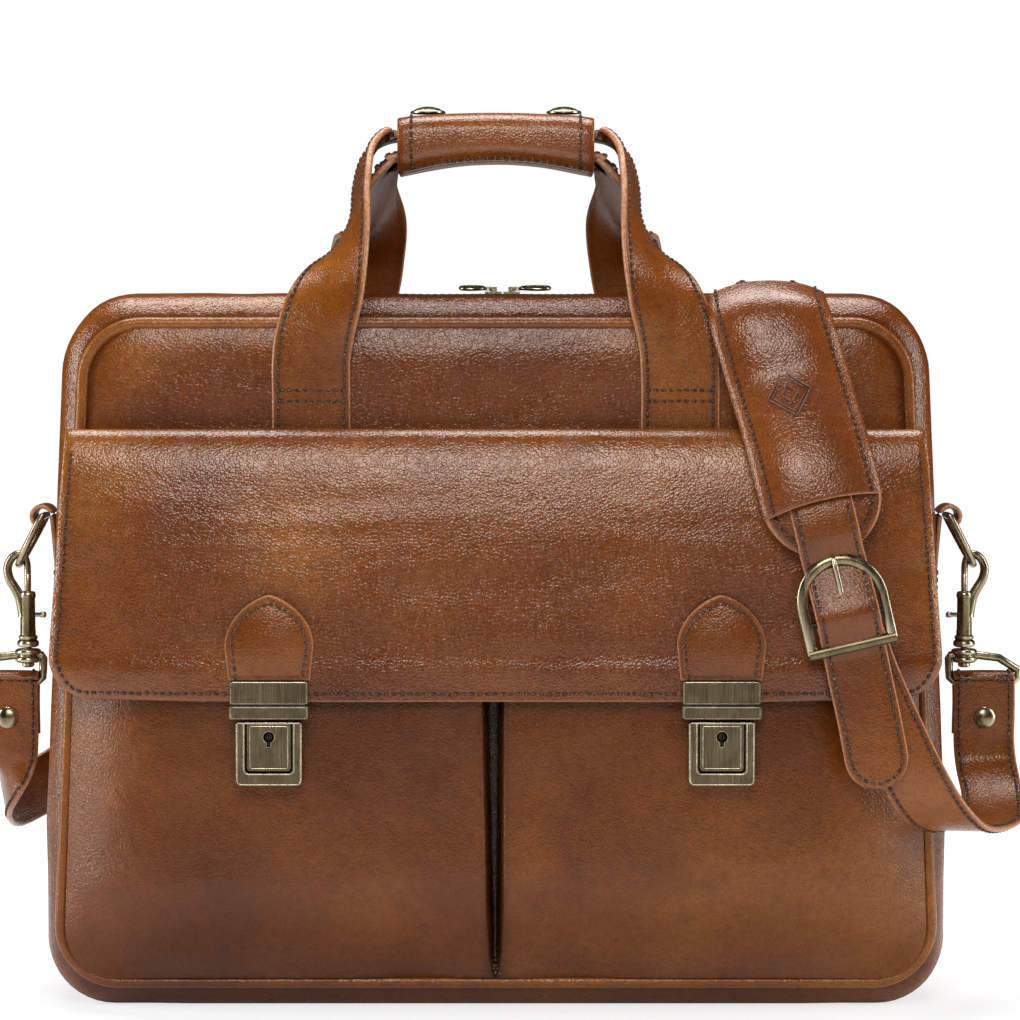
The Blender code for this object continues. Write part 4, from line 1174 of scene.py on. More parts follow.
def make_clasp(tag, x):
    """The plate on the flap: a narrow upper step and a thicker lower one, with a fold between."""
    half = (CLASP_HIGH.x - CLASP_LOW.x) / 2
    low, high, back = CLASP_LOW.z, CLASP_HIGH.z, CLASP_HIGH.y
    step_z = high - CLASP_STEP
    upper_y = CLASP_LOW.y + 0.0002
    lower_y = CLASP_LOW.y - 0.0012
    upper = bevelled("upper", rectangle(x, half, step_z, high, 0, 0.0012), upper_y, back, 0.0006, BRUSHED)
    lower_outline = rectangle(x, half + 0.0003, low, step_z - 0.0003, 0.0010)
    lower = bevelled("lower", lower_outline, lower_y, back, 0.0008, BRUSHED)
    # A near-black wire along the fold between the steps: painted shade
    fold_ends = [Vector((x + side * (half - 0.0002), CLASP_LOW.y - 0.0001, step_z)) for side in (-1, 1)]
    fold = tube("fold", fold_ends, 0.00045, SHADE_BRASS, False, 8, BACK)
    lower_rim = rectangle(x, half - 0.0005, low + 0.0006, step_z - 0.0009, 0.0008, 0.0010)
    upper_rim = rectangle(x, half - 0.0005, step_z + 0.0006, high - 0.0006, 0.0008, 0.0010)
    rims = [
        beading("lower rim", lower_rim, lower_y + 0.0001, CLASP_BEAD),
        beading("upper rim", upper_rim, upper_y + 0.0001, CLASP_BEAD),
    ]
    whole = merge(f"Clasp_{tag}", [upper, lower, fold] + rims)
    finish_piece(whole, "flap", "antique_brass", f"clasp_{tag}")


def make_lock_tab(tag, x):
    """The arched leather tab that holds the clasp to the flap, with its seam."""
    half = (TAB_HIGH.x - TAB_LOW.x) / 2
    back = TAB_HIGH.y + 0.0006
    low, high = TAB_LOW.z, TAB_HIGH.z
    shoulder = high - 0.0205
    outline = [(x + px, pz) for px, pz in arch_outline(half + 0.0006, low - 0.0007, high + 0.0022, shoulder)]
    tab = pillow(f"Lock_tab_{tag}", outline, back, 0.0030, STRAP_LEATHER)
    finish_piece(tab, "flap", "strap_leather", f"lock_tab_{tag}")
    seam_foot = low + 0.001
    seam = arch_outline(half - 0.0026, seam_foot, high - 0.0016, shoulder, 16)[1:]
    line = [(Vector((x + px, back - 0.0028, pz)), FRONT) for px, pz in seam]
    line.append((Vector((x - (half - 0.0043), back - 0.0028, seam_foot)), FRONT))
    stitches(f"Stitch_tab_{tag}", [line], "flap")


def make_locks():
    for tag, side in (("left", -1), ("right", 1)):
        for make in (make_lock_case, make_push, make_key, make_clasp, make_lock_tab):
            make(tag, side * LOCK_X)


# ---------------------------------------------------------------- straps and their seams

SEAM_INSET = 0.0029
SEAM_LIFT = 0.42


def edge_seams(found, width, thickness, inset=SEAM_INSET, faces=(1,), start=0, end=None, tip=False):
    """Seam lines along both edges of a strap, and round its tip if asked."""
    lines = []
    found = found[start:end]
    for face in faces:
        lines_here = []
        for hand in (-1, 1):
            line = []
            for middle, side, out in found:
                spot = middle + side * (hand * (width / 2 - inset)) + out * (face * thickness * SEAM_LIFT)
                line.append((spot, out * face))
            lines_here.append(line)
        if tip:
            middle, side, out = found[-1]
            along = side.cross(out).normalized()
            if along.dot(middle - found[-3][0]) < 0:
                along = -along
            centre = middle - along * (width / 2)
            reach = width / 2 - inset
            keep = [spot for spot in lines_here[0] if (spot[0] - centre).dot(along) < 0]
            other = [spot for spot in lines_here[1] if (spot[0] - centre).dot(along) < 0]
            bend = []
            for step in range(1, 16):
                angle = pi * step / 16
                spot = centre - side * (reach * cos(angle)) + along * (reach * sin(angle))
                bend.append((spot + out * (face * thickness * SEAM_LIFT), out * face))
            lines.append(keep + bend + other[::-1])
        else:
            lines += lines_here
    return lines


def across_seam(middle, side, out, width, thickness):
    """A seam straight across a strap at one of its frames."""
    reach = width / 2 - SEAM_INSET
    lift = out * thickness * SEAM_LIFT
    return [(middle - side * reach + lift, out), (middle + side * reach + lift, out)]


def nearest(found, z, side_y):
    """The frame of a strap nearest to a height, on the front or back of the case."""
    return min((item for item in found if item[0].y * side_y > 0), key=lambda item: abs(item[0].z - z))


HANDLE_WIDTH = 0.035
HANDLE_THICK = 0.0036
SEAM_GAP = 0.0044
FRONT_HANDLE = [
    ((-0.0820, -0.0551, 0.2440), (0, -1, 0)),
    ((-0.0820, -0.0553, 0.2700), (0, -1, 0)),
    ((-0.0817, -0.0562, 0.2900), (0, -1, 0)),
    ((-0.0797, -0.0568, 0.3040), (-0.10, -1, 0)),
    ((-0.0755, -0.0562, 0.3180), (-0.35, -0.93, 0)),
    ((-0.0712, -0.0510, 0.3310), (-0.60, -0.80, 0)),
    ((-0.0650, -0.0400, 0.3458), (-0.85, -0.52, 0.05)),
    ((-0.0612, -0.0260, 0.3624), (-0.97, -0.22, 0.1)),
    ((-0.0596, -0.0120, 0.3780), (-0.93, -0.05, 0.35)),
    ((-0.0545, -0.0030, 0.3885), (-0.7, 0, 0.7)),
    ((-0.0470, 0, 0.3918), (-0.2, 0, 0.97)),
    ((-0.0380, 0, 0.3922), (0, 0, 1)),
    ((-0.0200, 0, 0.3932), (0, 0, 1)),
    ((-0.0060, 0, 0.3938), (0, 0, 1)),
]
REAR_HANDLE = [
    ((-0.0820, 0.0551, 0.2000), (0, 1, 0)),
    ((-0.0800, 0.0556, 0.2400), (0, 1, 0)),
    ((-0.0740, 0.0562, 0.2750), (0, 1, 0)),
    ((-0.0672, 0.0566, 0.3060), (0, 1, 0)),
    ((-0.0625, 0.0560, 0.3280), (0, 1, 0)),
    ((-0.0605, 0.0520, 0.3400), (-0.1, 1, 0)),
    ((-0.0580, 0.0400, 0.3525), (-0.35, 0.9, 0)),
    ((-0.0550, 0.0200, 0.3625), (-0.8, 0.5, 0.2)),
    ((-0.0528, 0.0010, 0.3740), (-0.75, 0, 0.65)),
    ((-0.0490, 0, 0.3812), (-0.3, 0, 0.95)),
    ((-0.0430, 0, 0.3830), (0, 0, 1)),
    ((-0.0200, 0, 0.3852), (0, 0, 1)),
    ((-0.0060, 0, 0.3858), (0, 0, 1)),
]


def make_handle():
    for tag, route, side_y, foot in (("front", FRONT_HANDLE, -1, 0.2735), ("rear", REAR_HANDLE, 1, 0.2080)):
        mirrored = [((-p[0], p[1], p[2]), (-n[0], n[1], n[2])) for p, n in route[::-1]]
        made, found = strap(f"Handle_{tag}", route + mirrored, HANDLE_WIDTH, HANDLE_THICK, STRAP_LEATHER, 9)
        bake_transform(made)
        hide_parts(f"handle_foot_{tag}_left", f"handle_foot_{tag}_right", f"handle_strap_{tag}")
        lines = edge_seams(found, HANDLE_WIDTH, HANDLE_THICK)
        half = len(found) // 2
        for part in (found[:half], found[half:]):
            for z in (foot, foot + SEAM_GAP):
                lines.append(across_seam(*nearest(part, z, side_y), HANDLE_WIDTH, HANDLE_THICK))
        sewn = stitches(f"Stitch_handle_{tag}", lines)
        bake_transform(sewn)
    make_grip()


GRIP_STEPS = 30
GRIP_THICK = 0.0024
GRIP_SKIN = GRIP_THICK / 2
GRIP_MIDDLE = Vector((0, 0, 0.3868))
GRIP_ROUND = 0.0078
CORE_SIDES = 24
CORE_Z = 0.3882


def arched(point, half):
    """The grip bows upwards in the middle, more so underneath."""
    low = 1 - share_of(point.z, 0.3770, 0.3950)
    point.z += (0.0020 + 0.0042 * low) * (1 - (point.x / half) ** 2) - 0.0012
    return point


def grip_wrap(name, path, hand, raw):
    """Leather of the grip from a section line in the YZ plane, with hand +1 for columns along +X."""
    half = GRIP_HIGH.x
    grid = []
    for (spot,) in smooth_route([(Vector((0, y, z)),) for y, z in path], 3):
        outward = (spot - GRIP_MIDDLE).normalized()
        row = []
        for index in range(GRIP_STEPS + 1):
            x = hand * half * (2 * index / GRIP_STEPS - 1)
            ease = 0.0006 * max(0.0, 1 - (half - abs(x)) / 0.006)
            point = Vector((x, spot.y, spot.z))
            point += (0.00035 * noise.noise(point * 70) - ease) * outward
            row.append(arched(point, half))
        grid.append(row)
    normals = grid_normals(grid)
    grid = [[point + normal * GRIP_SKIN for point, normal in zip(*pair)] for pair in zip(grid, normals)]
    return sheet(name, grid, GRIP_THICK, PAD_LEATHER, raw=raw), grid


def make_grip_core():
    """The soft padding inside the grip."""
    low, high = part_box("grip_padding")
    points = []
    for x, shrink in ((low.x, 0.9), (low.x + 0.001, 1.0), (high.x - 0.001, 1.0), (high.x, 0.9)):
        for step in range(CORE_SIDES):
            angle = 2 * pi * step / CORE_SIDES
            points.append(Vector((x, 0.0145 * shrink * cos(angle), CORE_Z + 0.0050 * shrink * sin(angle))))
    core = publish("Grip_padding", points, ring_faces(4, CORE_SIDES), LINING)
    finish_piece(core, "handle", "padded_leather", "grip_padding")


def make_snap_cap(tag):
    """A snap fastener's cap: a rolled rim round a low dome."""
    low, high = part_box(f"snap_cap_{tag}")
    radius = (high.x - low.x) / 2
    profile = [
        (-0.0002, radius - 0.0010), (0, radius), (0.0007, radius), (0.0012, radius - 0.0006),
        (0.0011, radius - 0.0011), (0.0022, radius * 0.66), (0.0030, radius * 0.30), (0.0032, 0.0001),
    ]
    centre = ((low.x + high.x) / 2, (low.y + high.y) / 2, low.z + 0.0007)
    cap = turned(f"Snap_cap_{tag}", centre, UP, profile, RING_BRASS)
    finish_piece(cap, "wrap_leaf", "antique_brass", f"snap_cap_{tag}")


def make_grip():
    """The wrap in two layers, a lower one and a leaf that snaps over it, round a soft core."""
    foot, top = GRIP_LOW.z + GRIP_SKIN, GRIP_HIGH.z - GRIP_SKIN
    base = [(-0.0120, foot), (0.0, foot)] + arc((0.0168, foot + 0.0050), 0.0050, -90, 0, 4)
    base += arc((0.0140, top - GRIP_ROUND), GRIP_ROUND, 0, 90, 5) + [(0.0020, top)]
    made, grid = grip_wrap("Grip_base", base, -1, (1, 0.3, 1, 1))
    finish_piece(made, "handle", "padded_leather", "grip_base")
    side = LEAF_LOW.y + GRIP_SKIN + GRIP_ROUND
    crown = LEAF_HIGH.z - GRIP_SKIN
    leaf = [(-0.0150, foot + 0.0002)] + arc((side, foot + 0.0090), GRIP_ROUND, 240, 180, 3)
    leaf += arc((side, crown - GRIP_ROUND), GRIP_ROUND, 180, 90, 5) + [(0.0, crown), (LEAF_HIGH.y, crown)]
    made, grid = grip_wrap("Grip_leaf", leaf, 1, (0.6, 1, 1, 1))
    finish_piece(made, "wrap_leaf", "padded_leather", "grip_leaf")
    normals = grid_normals(grid)
    lines = []
    for column in (2, -3):
        lines.append([(row[column], normal[column]) for row, normal in zip(grid, normals)][1:])
    for row in (2, -2):
        lines.append(list(zip(grid[row], normals[row]))[1:-1])
    stitches("Stitch_grip", lines, "wrap_leaf")
    make_grip_core()
    make_snap_cap("left")
    make_snap_cap("right")


STRAP_WIDTH = 0.028
STRAP_THICK = 0.0026
STRAP_SEAM = 0.0026
LOOP_R = 0.0036
SWIVEL_BAR = Vector((0.224, 0, 0.143))


def folded_end(side):
    """Route of a strap's end: up its back, round the swivel's bar and down its front."""
    x = side * SWIVEL_BAR.x
    stops = [((x, LOOP_R, 0.1185), (0, 1, 0)), ((x, LOOP_R, 0.1280), (0, 1, 0))]
    for y, z in arc((0, SWIVEL_BAR.z), LOOP_R, 0, 180, 6):
        stops.append(((x, y, z), (0, y, z - SWIVEL_BAR.z)))
    return stops + [((x, -LOOP_R, 0.1280), (0, -1, 0))]


REAR_RUN = [
    ((-0.2240, -0.0036, 0.1150), (0, -1, 0)),
    ((-0.2245, -0.0030, 0.1080), (-0.1, -1, 0)),
    ((-0.2262, 0.0020, 0.0990), (-0.7, -0.7, 0)),
    ((-0.2280, 0.0180, 0.0900), (-1, 0, -0.2)),
    ((-0.2250, 0.0420, 0.0850), (-0.9, 0.4, -0.2)),
    ((-0.2080, 0.0630, 0.0930), (-0.5, 0.85, 0)),
    ((-0.1800, 0.0680, 0.1120), (0, 1, 0)),
    ((-0.1200, 0.0670, 0.1500), (0, 1, 0)),
    ((-0.0400, 0.0660, 0.1900), (0, 1, 0)),
    ((0.0400, 0.0660, 0.2250), (0, 1, 0)),
    ((0.0950, 0.0660, 0.2620), (0, 1, 0)),
    ((0.1220, 0.0645, 0.2960), (0, 0.95, 0.2)),
    ((0.1280, 0.0520, 0.3172), (0, 0.7, 0.7)),
    ((0.1270, 0.0250, 0.3240), (0, 0.1, 1)),
    ((0.1225, -0.0150, 0.3245), (0, -0.05, 1)),
    ((0.1200, -0.0440, 0.3200), (0, -0.3, 1)),
]
LOWER_LOOP = [
    ((0.2240, -0.0036, 0.1145), (0, -1, 0)),
    ((0.2247, -0.0060, 0.1050), (0, -1, 0.2)),
    ((0.2260, -0.0180, 0.0930), (0, -0.7, 0.7)),
    ((0.2230, -0.0400, 0.0840), (-0.05, -0.2, 1)),
    ((0.2080, -0.0640, 0.0830), (0, 0.1, 1)),
    ((0.1960, -0.0800, 0.0900), (0, 0.6, 0.8)),
    ((0.1850, -0.0868, 0.1050), (0, 0.95, 0.3)),
    ((0.1745, -0.0875, 0.1265), (0, 1, 0)),
    ((0.1640, -0.0875, 0.1500), (0, 1, 0)),
    ((0.1535, -0.0875, 0.1780), (0, 1, 0)),
]
FRONT_RUN = [
    ((0.1385, -0.0893, 0.2420), (0, -1, 0)),
    ((0.1420, -0.0938, 0.2260), (0, -1, 0)),
    ((0.1446, -0.0948, 0.2150), (0, -1, 0)),
    ((0.1466, -0.0925, 0.2070), (0, -1, 0)),
    ((0.1483, -0.0912, 0.2010), (0, -1, 0)),
    ((0.1508, -0.0952, 0.1900), (0, -1, 0)),
    ((0.1535, -0.0984, 0.1785), (0, -1, 0)),
    ((0.1566, -0.0912, 0.1650), (0, -1, 0)),
    ((0.1592, -0.0904, 0.1530), (0, -1, 0)),
    ((0.1642, -0.0906, 0.1290), (0, -1, 0)),
    ((0.1696, -0.0904, 0.1035), (0, -1, 0)),
]
PAD_ROUTE = [
    ((0.1200, -0.0450, 0.3170), (0, -0.45, 0.9)),
    ((0.1212, -0.0565, 0.3095), (0, -0.88, 0.45)),
    ((0.1248, -0.0618, 0.2970), (0, -1, 0.15)),
    ((0.1290, -0.0655, 0.2820), (0, -1, 0.10)),
    ((0.1345, -0.0770, 0.2610), (0, -1, 0.30)),
    ((0.1390, -0.0858, 0.2430), (0, -1, 0.20)),
    ((0.1434, -0.0892, 0.2250), (0, -1, 0.08)),
    ((0.1480, -0.0898, 0.2055), (0, -1, 0)),
]
PAD_WIDTH = 0.053
PAD_BASE = 0.0056


def make_rivet(tag, side):
    """A domed cap on both faces of a strap's folded end, joined by a shank."""
    node = f"rivet_{tag}"
    low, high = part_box(node)
    x = side * SWIVEL_BAR.x
    z = (low.z + high.z) / 2
    radius = (high.z - low.z) / 2
    dome = [
        (0, radius - 0.0004), (0.0006, radius), (0.0012, radius - 0.0004), (0.0019, radius * 0.6),
        (0.0023, radius * 0.2), (0.0024, 0.0001),
    ]
    front = turned("front cap", (x, low.y + 0.0020, z), FRONT, dome, RING_BRASS)
    back = turned("back cap", (x, high.y - 0.0020, z), BACK, dome, RING_BRASS)
    length = high.y - low.y - 0.002
    shank = turned("shank", (x, low.y + 0.001, z), BACK, [(0, 0.002), (length, 0.002)], RING_BRASS, 12)
    made = merge(f"Rivet_{tag}", [front, back, shank])
    finish_piece(made, "bag", "antique_brass", node)


def make_rear_strap():
    """From the left swivel round behind the bag and up over its top to the shoulder pad."""
    made, found = strap("Strap_rear", folded_end(-1) + REAR_RUN, STRAP_WIDTH, STRAP_THICK, STRAP_LEATHER, 8)
    finish_piece(made, "bag", "strap_leather", "strap_rear_run", "strap_end_left")
    lines = edge_seams(found, STRAP_WIDTH, STRAP_THICK, STRAP_SEAM)
    stitches("Stitch_strap_rear", lines, "bag")


def make_lower_strap():
    """From the right swivel round in front of the bag and up to the buckle."""
    made, found = strap("Strap_lower", folded_end(1) + LOWER_LOOP, STRAP_WIDTH, STRAP_THICK, STRAP_LEATHER, 8)
    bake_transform(made)
    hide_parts("strap_lower_loop", "strap_short_run", "strap_end_right")
    lines = edge_seams(found, STRAP_WIDTH, STRAP_THICK, STRAP_SEAM, (1, -1))
    sewn = stitches("Stitch_strap_lower", lines)
    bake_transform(sewn)


def make_front_strap():
    """The run that hangs in front of the bag through the buckle, with a round end and two holes shown as dark
    eyes of painted shade.
    """
    made, found = strap(
        "Strap_front", FRONT_RUN, STRAP_WIDTH, STRAP_THICK, STRAP_LEATHER, 12, round_end=True, bow=0.0004
    )
    finish_piece(made, "strap_front", "strap_leather", "strap_front_run")
    lines = edge_seams(found, STRAP_WIDTH, STRAP_THICK + 0.0006, 0.0027, start=12, tip=True)
    stitches("Stitch_strap_front", lines, "strap_front")
    eye = [(0.0002, 0.0001), (0.0002, 0.0017), (0.0005, 0.0021), (0.0001, 0.0026)]
    parts = []
    for z in (0.1475, 0.1290):
        middle, side, out = nearest(found, z, -1)
        parts.append(turned("eye", middle + out * 0.0013, out, eye, HOLE_SHADE, 20))
    holes = merge("Strap_holes", parts)
    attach(holes, "strap_front")


def make_straps():
    make_rear_strap()
    make_lower_strap()
    make_rivet("left", -1)
    make_rivet("right", 1)
    make_front_strap()


# ---------------------------------------------------------------- shoulder pad

PAD_COLUMNS = 24
SLEEVE_THICK = 0.0018
SLEEVE_END_Z = 0.2265
SLEEVE_LIP = 0.0028


def sleeve_grid(found, last):
    """The padded sleeve over the upper end of the pad's base, bulging in its middle."""
    grid = []
    for index in range(last, -1, -1):
        middle, side, out = found[index]
        along = side.cross(out)
        if along.z < 0:
            along = -along
        row = []
        for column in range(PAD_COLUMNS + 1):
            share = 2 * column / PAD_COLUMNS - 1
            rise = 0.0068 * (1 - abs(share) ** 2.6) + 0.0006
            rise += 0.0006 * noise.noise(middle * 45 + side * share)
            lip = SLEEVE_LIP * (1 - share**2) * max(0.0, 1 - (last - index) / 4)
            spot = middle - side * (share * (PAD_WIDTH / 2 + 0.0002)) + out * (PAD_BASE / 2 + rise)
            row.append(spot + along * lip)
        grid.append(row)
    if grid_normals(grid)[len(grid) // 2][PAD_COLUMNS // 2].y > 0:
        grid = [row[::-1] for row in grid]
    return grid


def make_pad():
    base, found = strap("Pad_base", PAD_ROUTE, PAD_WIDTH, PAD_BASE, PAD_LEATHER, 10, round_end=True)
    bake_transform(base)
    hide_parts("shoulder_pad_upper", "shoulder_pad_lower")
    last = max(index for index, item in enumerate(found) if item[0].z > SLEEVE_END_Z)
    grid = sleeve_grid(found, last)
    normals = grid_normals(grid)
    sleeve = sheet("Pad_sleeve", grid, SLEEVE_THICK, PAD_LEATHER, raw=(1, 0.6, 1, 1))
    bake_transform(sleeve)
    lines = []
    for column in (2, PAD_COLUMNS - 2):
        lines.append([(row[column], normal[column]) for row, normal in zip(grid, normals)])
    lines += edge_seams(found, PAD_WIDTH, PAD_BASE + 0.0012, 0.0042, start=last, tip=True)
    sewn = stitches("Stitch_pad", lines)
    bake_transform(sewn)
    make_motif(grid, normals)


# Half width, half height and line radius of each lozenge of the pressed motif
LOZENGES = ((0.0096, 0.0118, 0.00050), (0.0079, 0.0097, 0.00030), (0.0034, 0.0046, 0.00042))
MOTIF_Z = 0.277
MOTIF_COLUMN = PAD_COLUMNS // 2 - 1


def make_motif(grid, normals):
    """Nested lozenges pressed into the sleeve."""
    row = min(range(len(grid)), key=lambda index: abs(grid[index][MOTIF_COLUMN + 1].z - MOTIF_Z))
    middle, out = grid[row][MOTIF_COLUMN], normals[row][MOTIF_COLUMN]
    up = (grid[row + 1][MOTIF_COLUMN] - grid[row - 1][MOTIF_COLUMN]).normalized()
    across = up.cross(out).normalized()
    parts = []
    for wide, tall, radius in LOZENGES:
        path = []
        corners = [Vector(corner) for corner in ((wide, 0), (0, tall), (-wide, 0), (0, -tall))]
        for start, end in zip(corners, corners[1:] + corners[:1]):
            for step in range(6):
                x, y = start + (end - start) * (step / 6)
                path.append(middle + across * x + up * y + out * (0.0003 - 2.2 * x * x))
        parts.append(tube("lozenge", path, radius, PRESSED_MARK, True, 6, out))
    made = merge("Pad_motif", parts)
    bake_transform(made)


# ---------------------------------------------------------------- buckle and clips

BUCKLE_BAR = Vector((0.1530, -0.0934, 0.1785))
BUCKLE_TILT = radians(13)
BUCKLE_HALF = 0.0178
BUCKLE_FOOT = 0.0125
BUCKLE_WIRE = 0.0024
BOW_STEPS = 28


def buckle_point(across, down, out=0.0):
    """A point given from the middle of the buckle's bar, in the tilted plane of the buckle."""
    x = across * cos(BUCKLE_TILT) + down * sin(BUCKLE_TILT)
    z = across * sin(BUCKLE_TILT) - down * cos(BUCKLE_TILT)
    return BUCKLE_BAR + Vector((x, -out, z))


def make_buckle():
    """A flattened round bow with a straight foot, on the bar that carries the prong."""
    half = BUCKLE_HALF
    path = [buckle_point(half, BUCKLE_FOOT), buckle_point(half, 0.002)]
    for step in range(BOW_STEPS + 1):
        angle = pi * step / BOW_STEPS
        path.append(buckle_point(half * cos(angle), -0.007 - (half + 0.001) * sin(angle)))
    path += [buckle_point(-half, 0.002), buckle_point(-half, BUCKLE_FOOT)]
    bow = tube("bow", path, BUCKLE_WIRE, RING_BRASS, False, 16, BACK, 0.62)
    foot_ends = [buckle_point(side * (half + 0.0016), BUCKLE_FOOT, 0.0002) for side in (-1, 1)]
    foot = tube("foot", foot_ends, BUCKLE_WIRE, BRUSHED, False, 16, BACK, 0.75)
    # The bar is near black: painted shade under the strap
    bar_ends = [buckle_point(-half, 0), buckle_point(half, 0)]
    bar = tube("bar", bar_ends, 0.0012, SHADE_BRASS, False, 12, BACK)
    made = merge("Buckle", [bow, foot, bar])
    finish_piece(made, "strap_front", "antique_brass", "buckle_frame")


# How far up, how far out and how thick the prong is at each of its points
PRONG = (
    (-0.0010, 0.0016, 0.0012), (0.0060, 0.0026, 0.0013), (0.0150, 0.0032, 0.0013), (0.0220, 0.0034, 0.0012),
    (0.0268, 0.0031, 0.0010), (0.0278, 0.0028, 0.0005),
)


def make_prong():
    path = [buckle_point(0, -up, out) for up, out, radius in PRONG]
    made = tube("Prong", path, [radius for up, out, radius in PRONG], RING_BRASS, False, 12, BACK)
    finish_piece(made, "prong", "antique_brass", "buckle_prong")


RING_PIVOT = Vector((0.2073, 0, 0.2190))
RING_REACH = Vector((0.0117, 0, -0.0225))
RING_HALF = 0.0120
HOOK_X = 0.2150


def make_ring(tag, side):
    """A D-ring: a straight side along Y and a bow that hangs outwards."""
    pivot = Vector((side * RING_PIVOT.x, 0, RING_PIVOT.z))
    reach = Vector((side * RING_REACH.x, 0, RING_REACH.z))
    path = [pivot + BACK * (RING_HALF * share) for share in (-0.95, -0.5, 0, 0.5, 0.95)]
    for step in range(1, 30):
        angle = pi * step / 30
        path.append(pivot + BACK * RING_HALF * cos(angle) + reach * sin(angle) ** 0.8)
    ring = tube(f"D_ring_{tag}", path, 0.0016, RING_BRASS, True, 16, reach.cross(BACK).normalized())
    finish_piece(ring, f"ring_{tag}", "antique_brass", f"d_ring_{tag}")


SIDE_TAB_WIDTH = 0.020
SIDE_TAB_THICK = 0.0020
SIDE_TAB_LOOP = 0.0046


def make_side_tab(tag, side):
    """A leather tab on the gusset, looped round the straight side of its ring."""
    stops = [((side * 0.2003, 0, 0.1780), (side, 0, 0)), ((side * 0.2006, 0, 0.1950), (side, 0, -0.05))]
    for x, z in arc((RING_PIVOT.x, RING_PIVOT.z), SIDE_TAB_LOOP, 180, -60, 8):
        stops.append(((side * x, 0, z), (side * RING_PIVOT.x - side * x, 0, RING_PIVOT.z - z)))
    made, found = strap(f"Side_tab_{tag}", stops, SIDE_TAB_WIDTH, SIDE_TAB_THICK, STRAP_LEATHER, 4)
    finish_piece(made, "bag", "strap_leather", f"side_tab_{tag}")
    lines = edge_seams(found, SIDE_TAB_WIDTH, SIDE_TAB_THICK, 0.0024, end=5)
    stitches(f"Stitch_side_tab_{tag}", lines, "bag")


HOOK_FOOT_Z = 0.1586
BARREL = (
    (0, 0.0036), (0.0005, 0.0048), (0.0016, 0.0051), (0.0028, 0.0048), (0.0034, 0.0040),
    (0.0040, 0.0044), (0.0050, 0.0044), (0.0056, 0.0036), (0.0220, 0.0034), (0.0236, 0.0038),
    (0.0250, 0.0036), (0.0256, 0.0030),
)
STEM = ((0, 0.0020), (0.0006, 0.0028), (0.0018, 0.0028), (0.0024, 0.0015), (0.0100, 0.0015))
PIN = ((0, 0.0012), (0.0004, 0.0015), (0.0208, 0.0015), (0.0214, 0.0012))
KNOB = ((0, 0.0010), (0.0055, 0.0010), (0.0062, 0.0014), (0.0078, 0.0014), (0.0084, 0.0009))
BOSS = ((0, 0.0036), (0.0008, 0.0044), (0.0048, 0.0044), (0.0056, 0.0036))
BORE = ((0, 0.0019), (0.03, 0.0019))

# The hook's bow as (outwards from the barrel's middle, height)
BEAK = (
    (0.0016, 0.1730), (0.0028, 0.1785), (0.0039, 0.1820), (0.0058, 0.1855), (0.0084, 0.1900),
    (0.0092, 0.1950), (0.0074, 0.1994), (0.0043, 0.2014), (0.0016, 0.2004), (0.0003, 0.1970),
    (0.0000, 0.1922),
)


def make_hook(tag, side):
    """A snap hook: a hollow slotted barrel, a curved beak that thins to its tip, and a stem."""
    x = side * HOOK_X
    body = turned("barrel", (x, 0, HOOK_FOOT_Z), UP, BARREL, RING_BRASS)
    cut(body, turned("bore", (x, 0, 0.166), UP, BORE, RING_BRASS, 20))
    ends = sorted((x, x - side * 0.006))
    slot = box_at("slot", (ends[0], -0.0014, 0.1664), (ends[1], 0.0014, 0.1860), RING_BRASS)
    bake_modifiers(slot)
    cut(body, slot)
    path = [row[0] for row in smooth_route([(Vector((x + side * out, 0, z)),) for out, z in BEAK], 5)]
    last = len(path) - 1
    radii = [0.0031 - 0.0016 * (index / last) ** 0.5 for index in range(last + 1)]
    bow = tube("beak", path, radii, RING_BRASS, False, 14, BACK)
    stem = turned("stem", (x, 0, 0.1494), UP, STEM, RING_BRASS, 20)
    made = merge(f"Snap_hook_{tag}", [body, bow, stem])
    finish_piece(made, f"hook_{tag}", "antique_brass", f"snap_hook_{tag}")
    pin = turned("pin", (x, 0, 0.1710), UP, PIN, RING_BRASS, 18)
    knob = turned("knob", (x, 0, 0.1735), (-side, 0, 0), KNOB, RING_BRASS, 16)
    made = merge(f"Hook_bolt_{tag}", [pin, knob])
    finish_piece(made, f"bolt_{tag}", "antique_brass", f"hook_bolt_{tag}")


SWIVEL_HEAD_Z = 0.1582
SWIVEL_WIRE = 0.0019
COIL_WIRE = 0.0015
COIL_R = 0.0046

# One half of the swivel's loop beside the strap, from the middle of its bar
SWIVEL_SIDE = ((0.0075, 0), (0.0140, 0), (0.0155, 0.0016), (0.0158, 0.0050))


def swivel_half(x, z, top, hand):
    """Half of the swivel's loop, from beside the middle of its bar up to beside its head."""
    lean = (x - top) * 0.5
    shoulder = (top + hand * 0.0115 + lean, SWIVEL_HEAD_Z - 0.0046)
    neck = (top + hand * 0.0065, SWIVEL_HEAD_Z - 0.0034)
    return [(x + hand * out, z + up) for out, up in SWIVEL_SIDE] + [shoulder, neck]


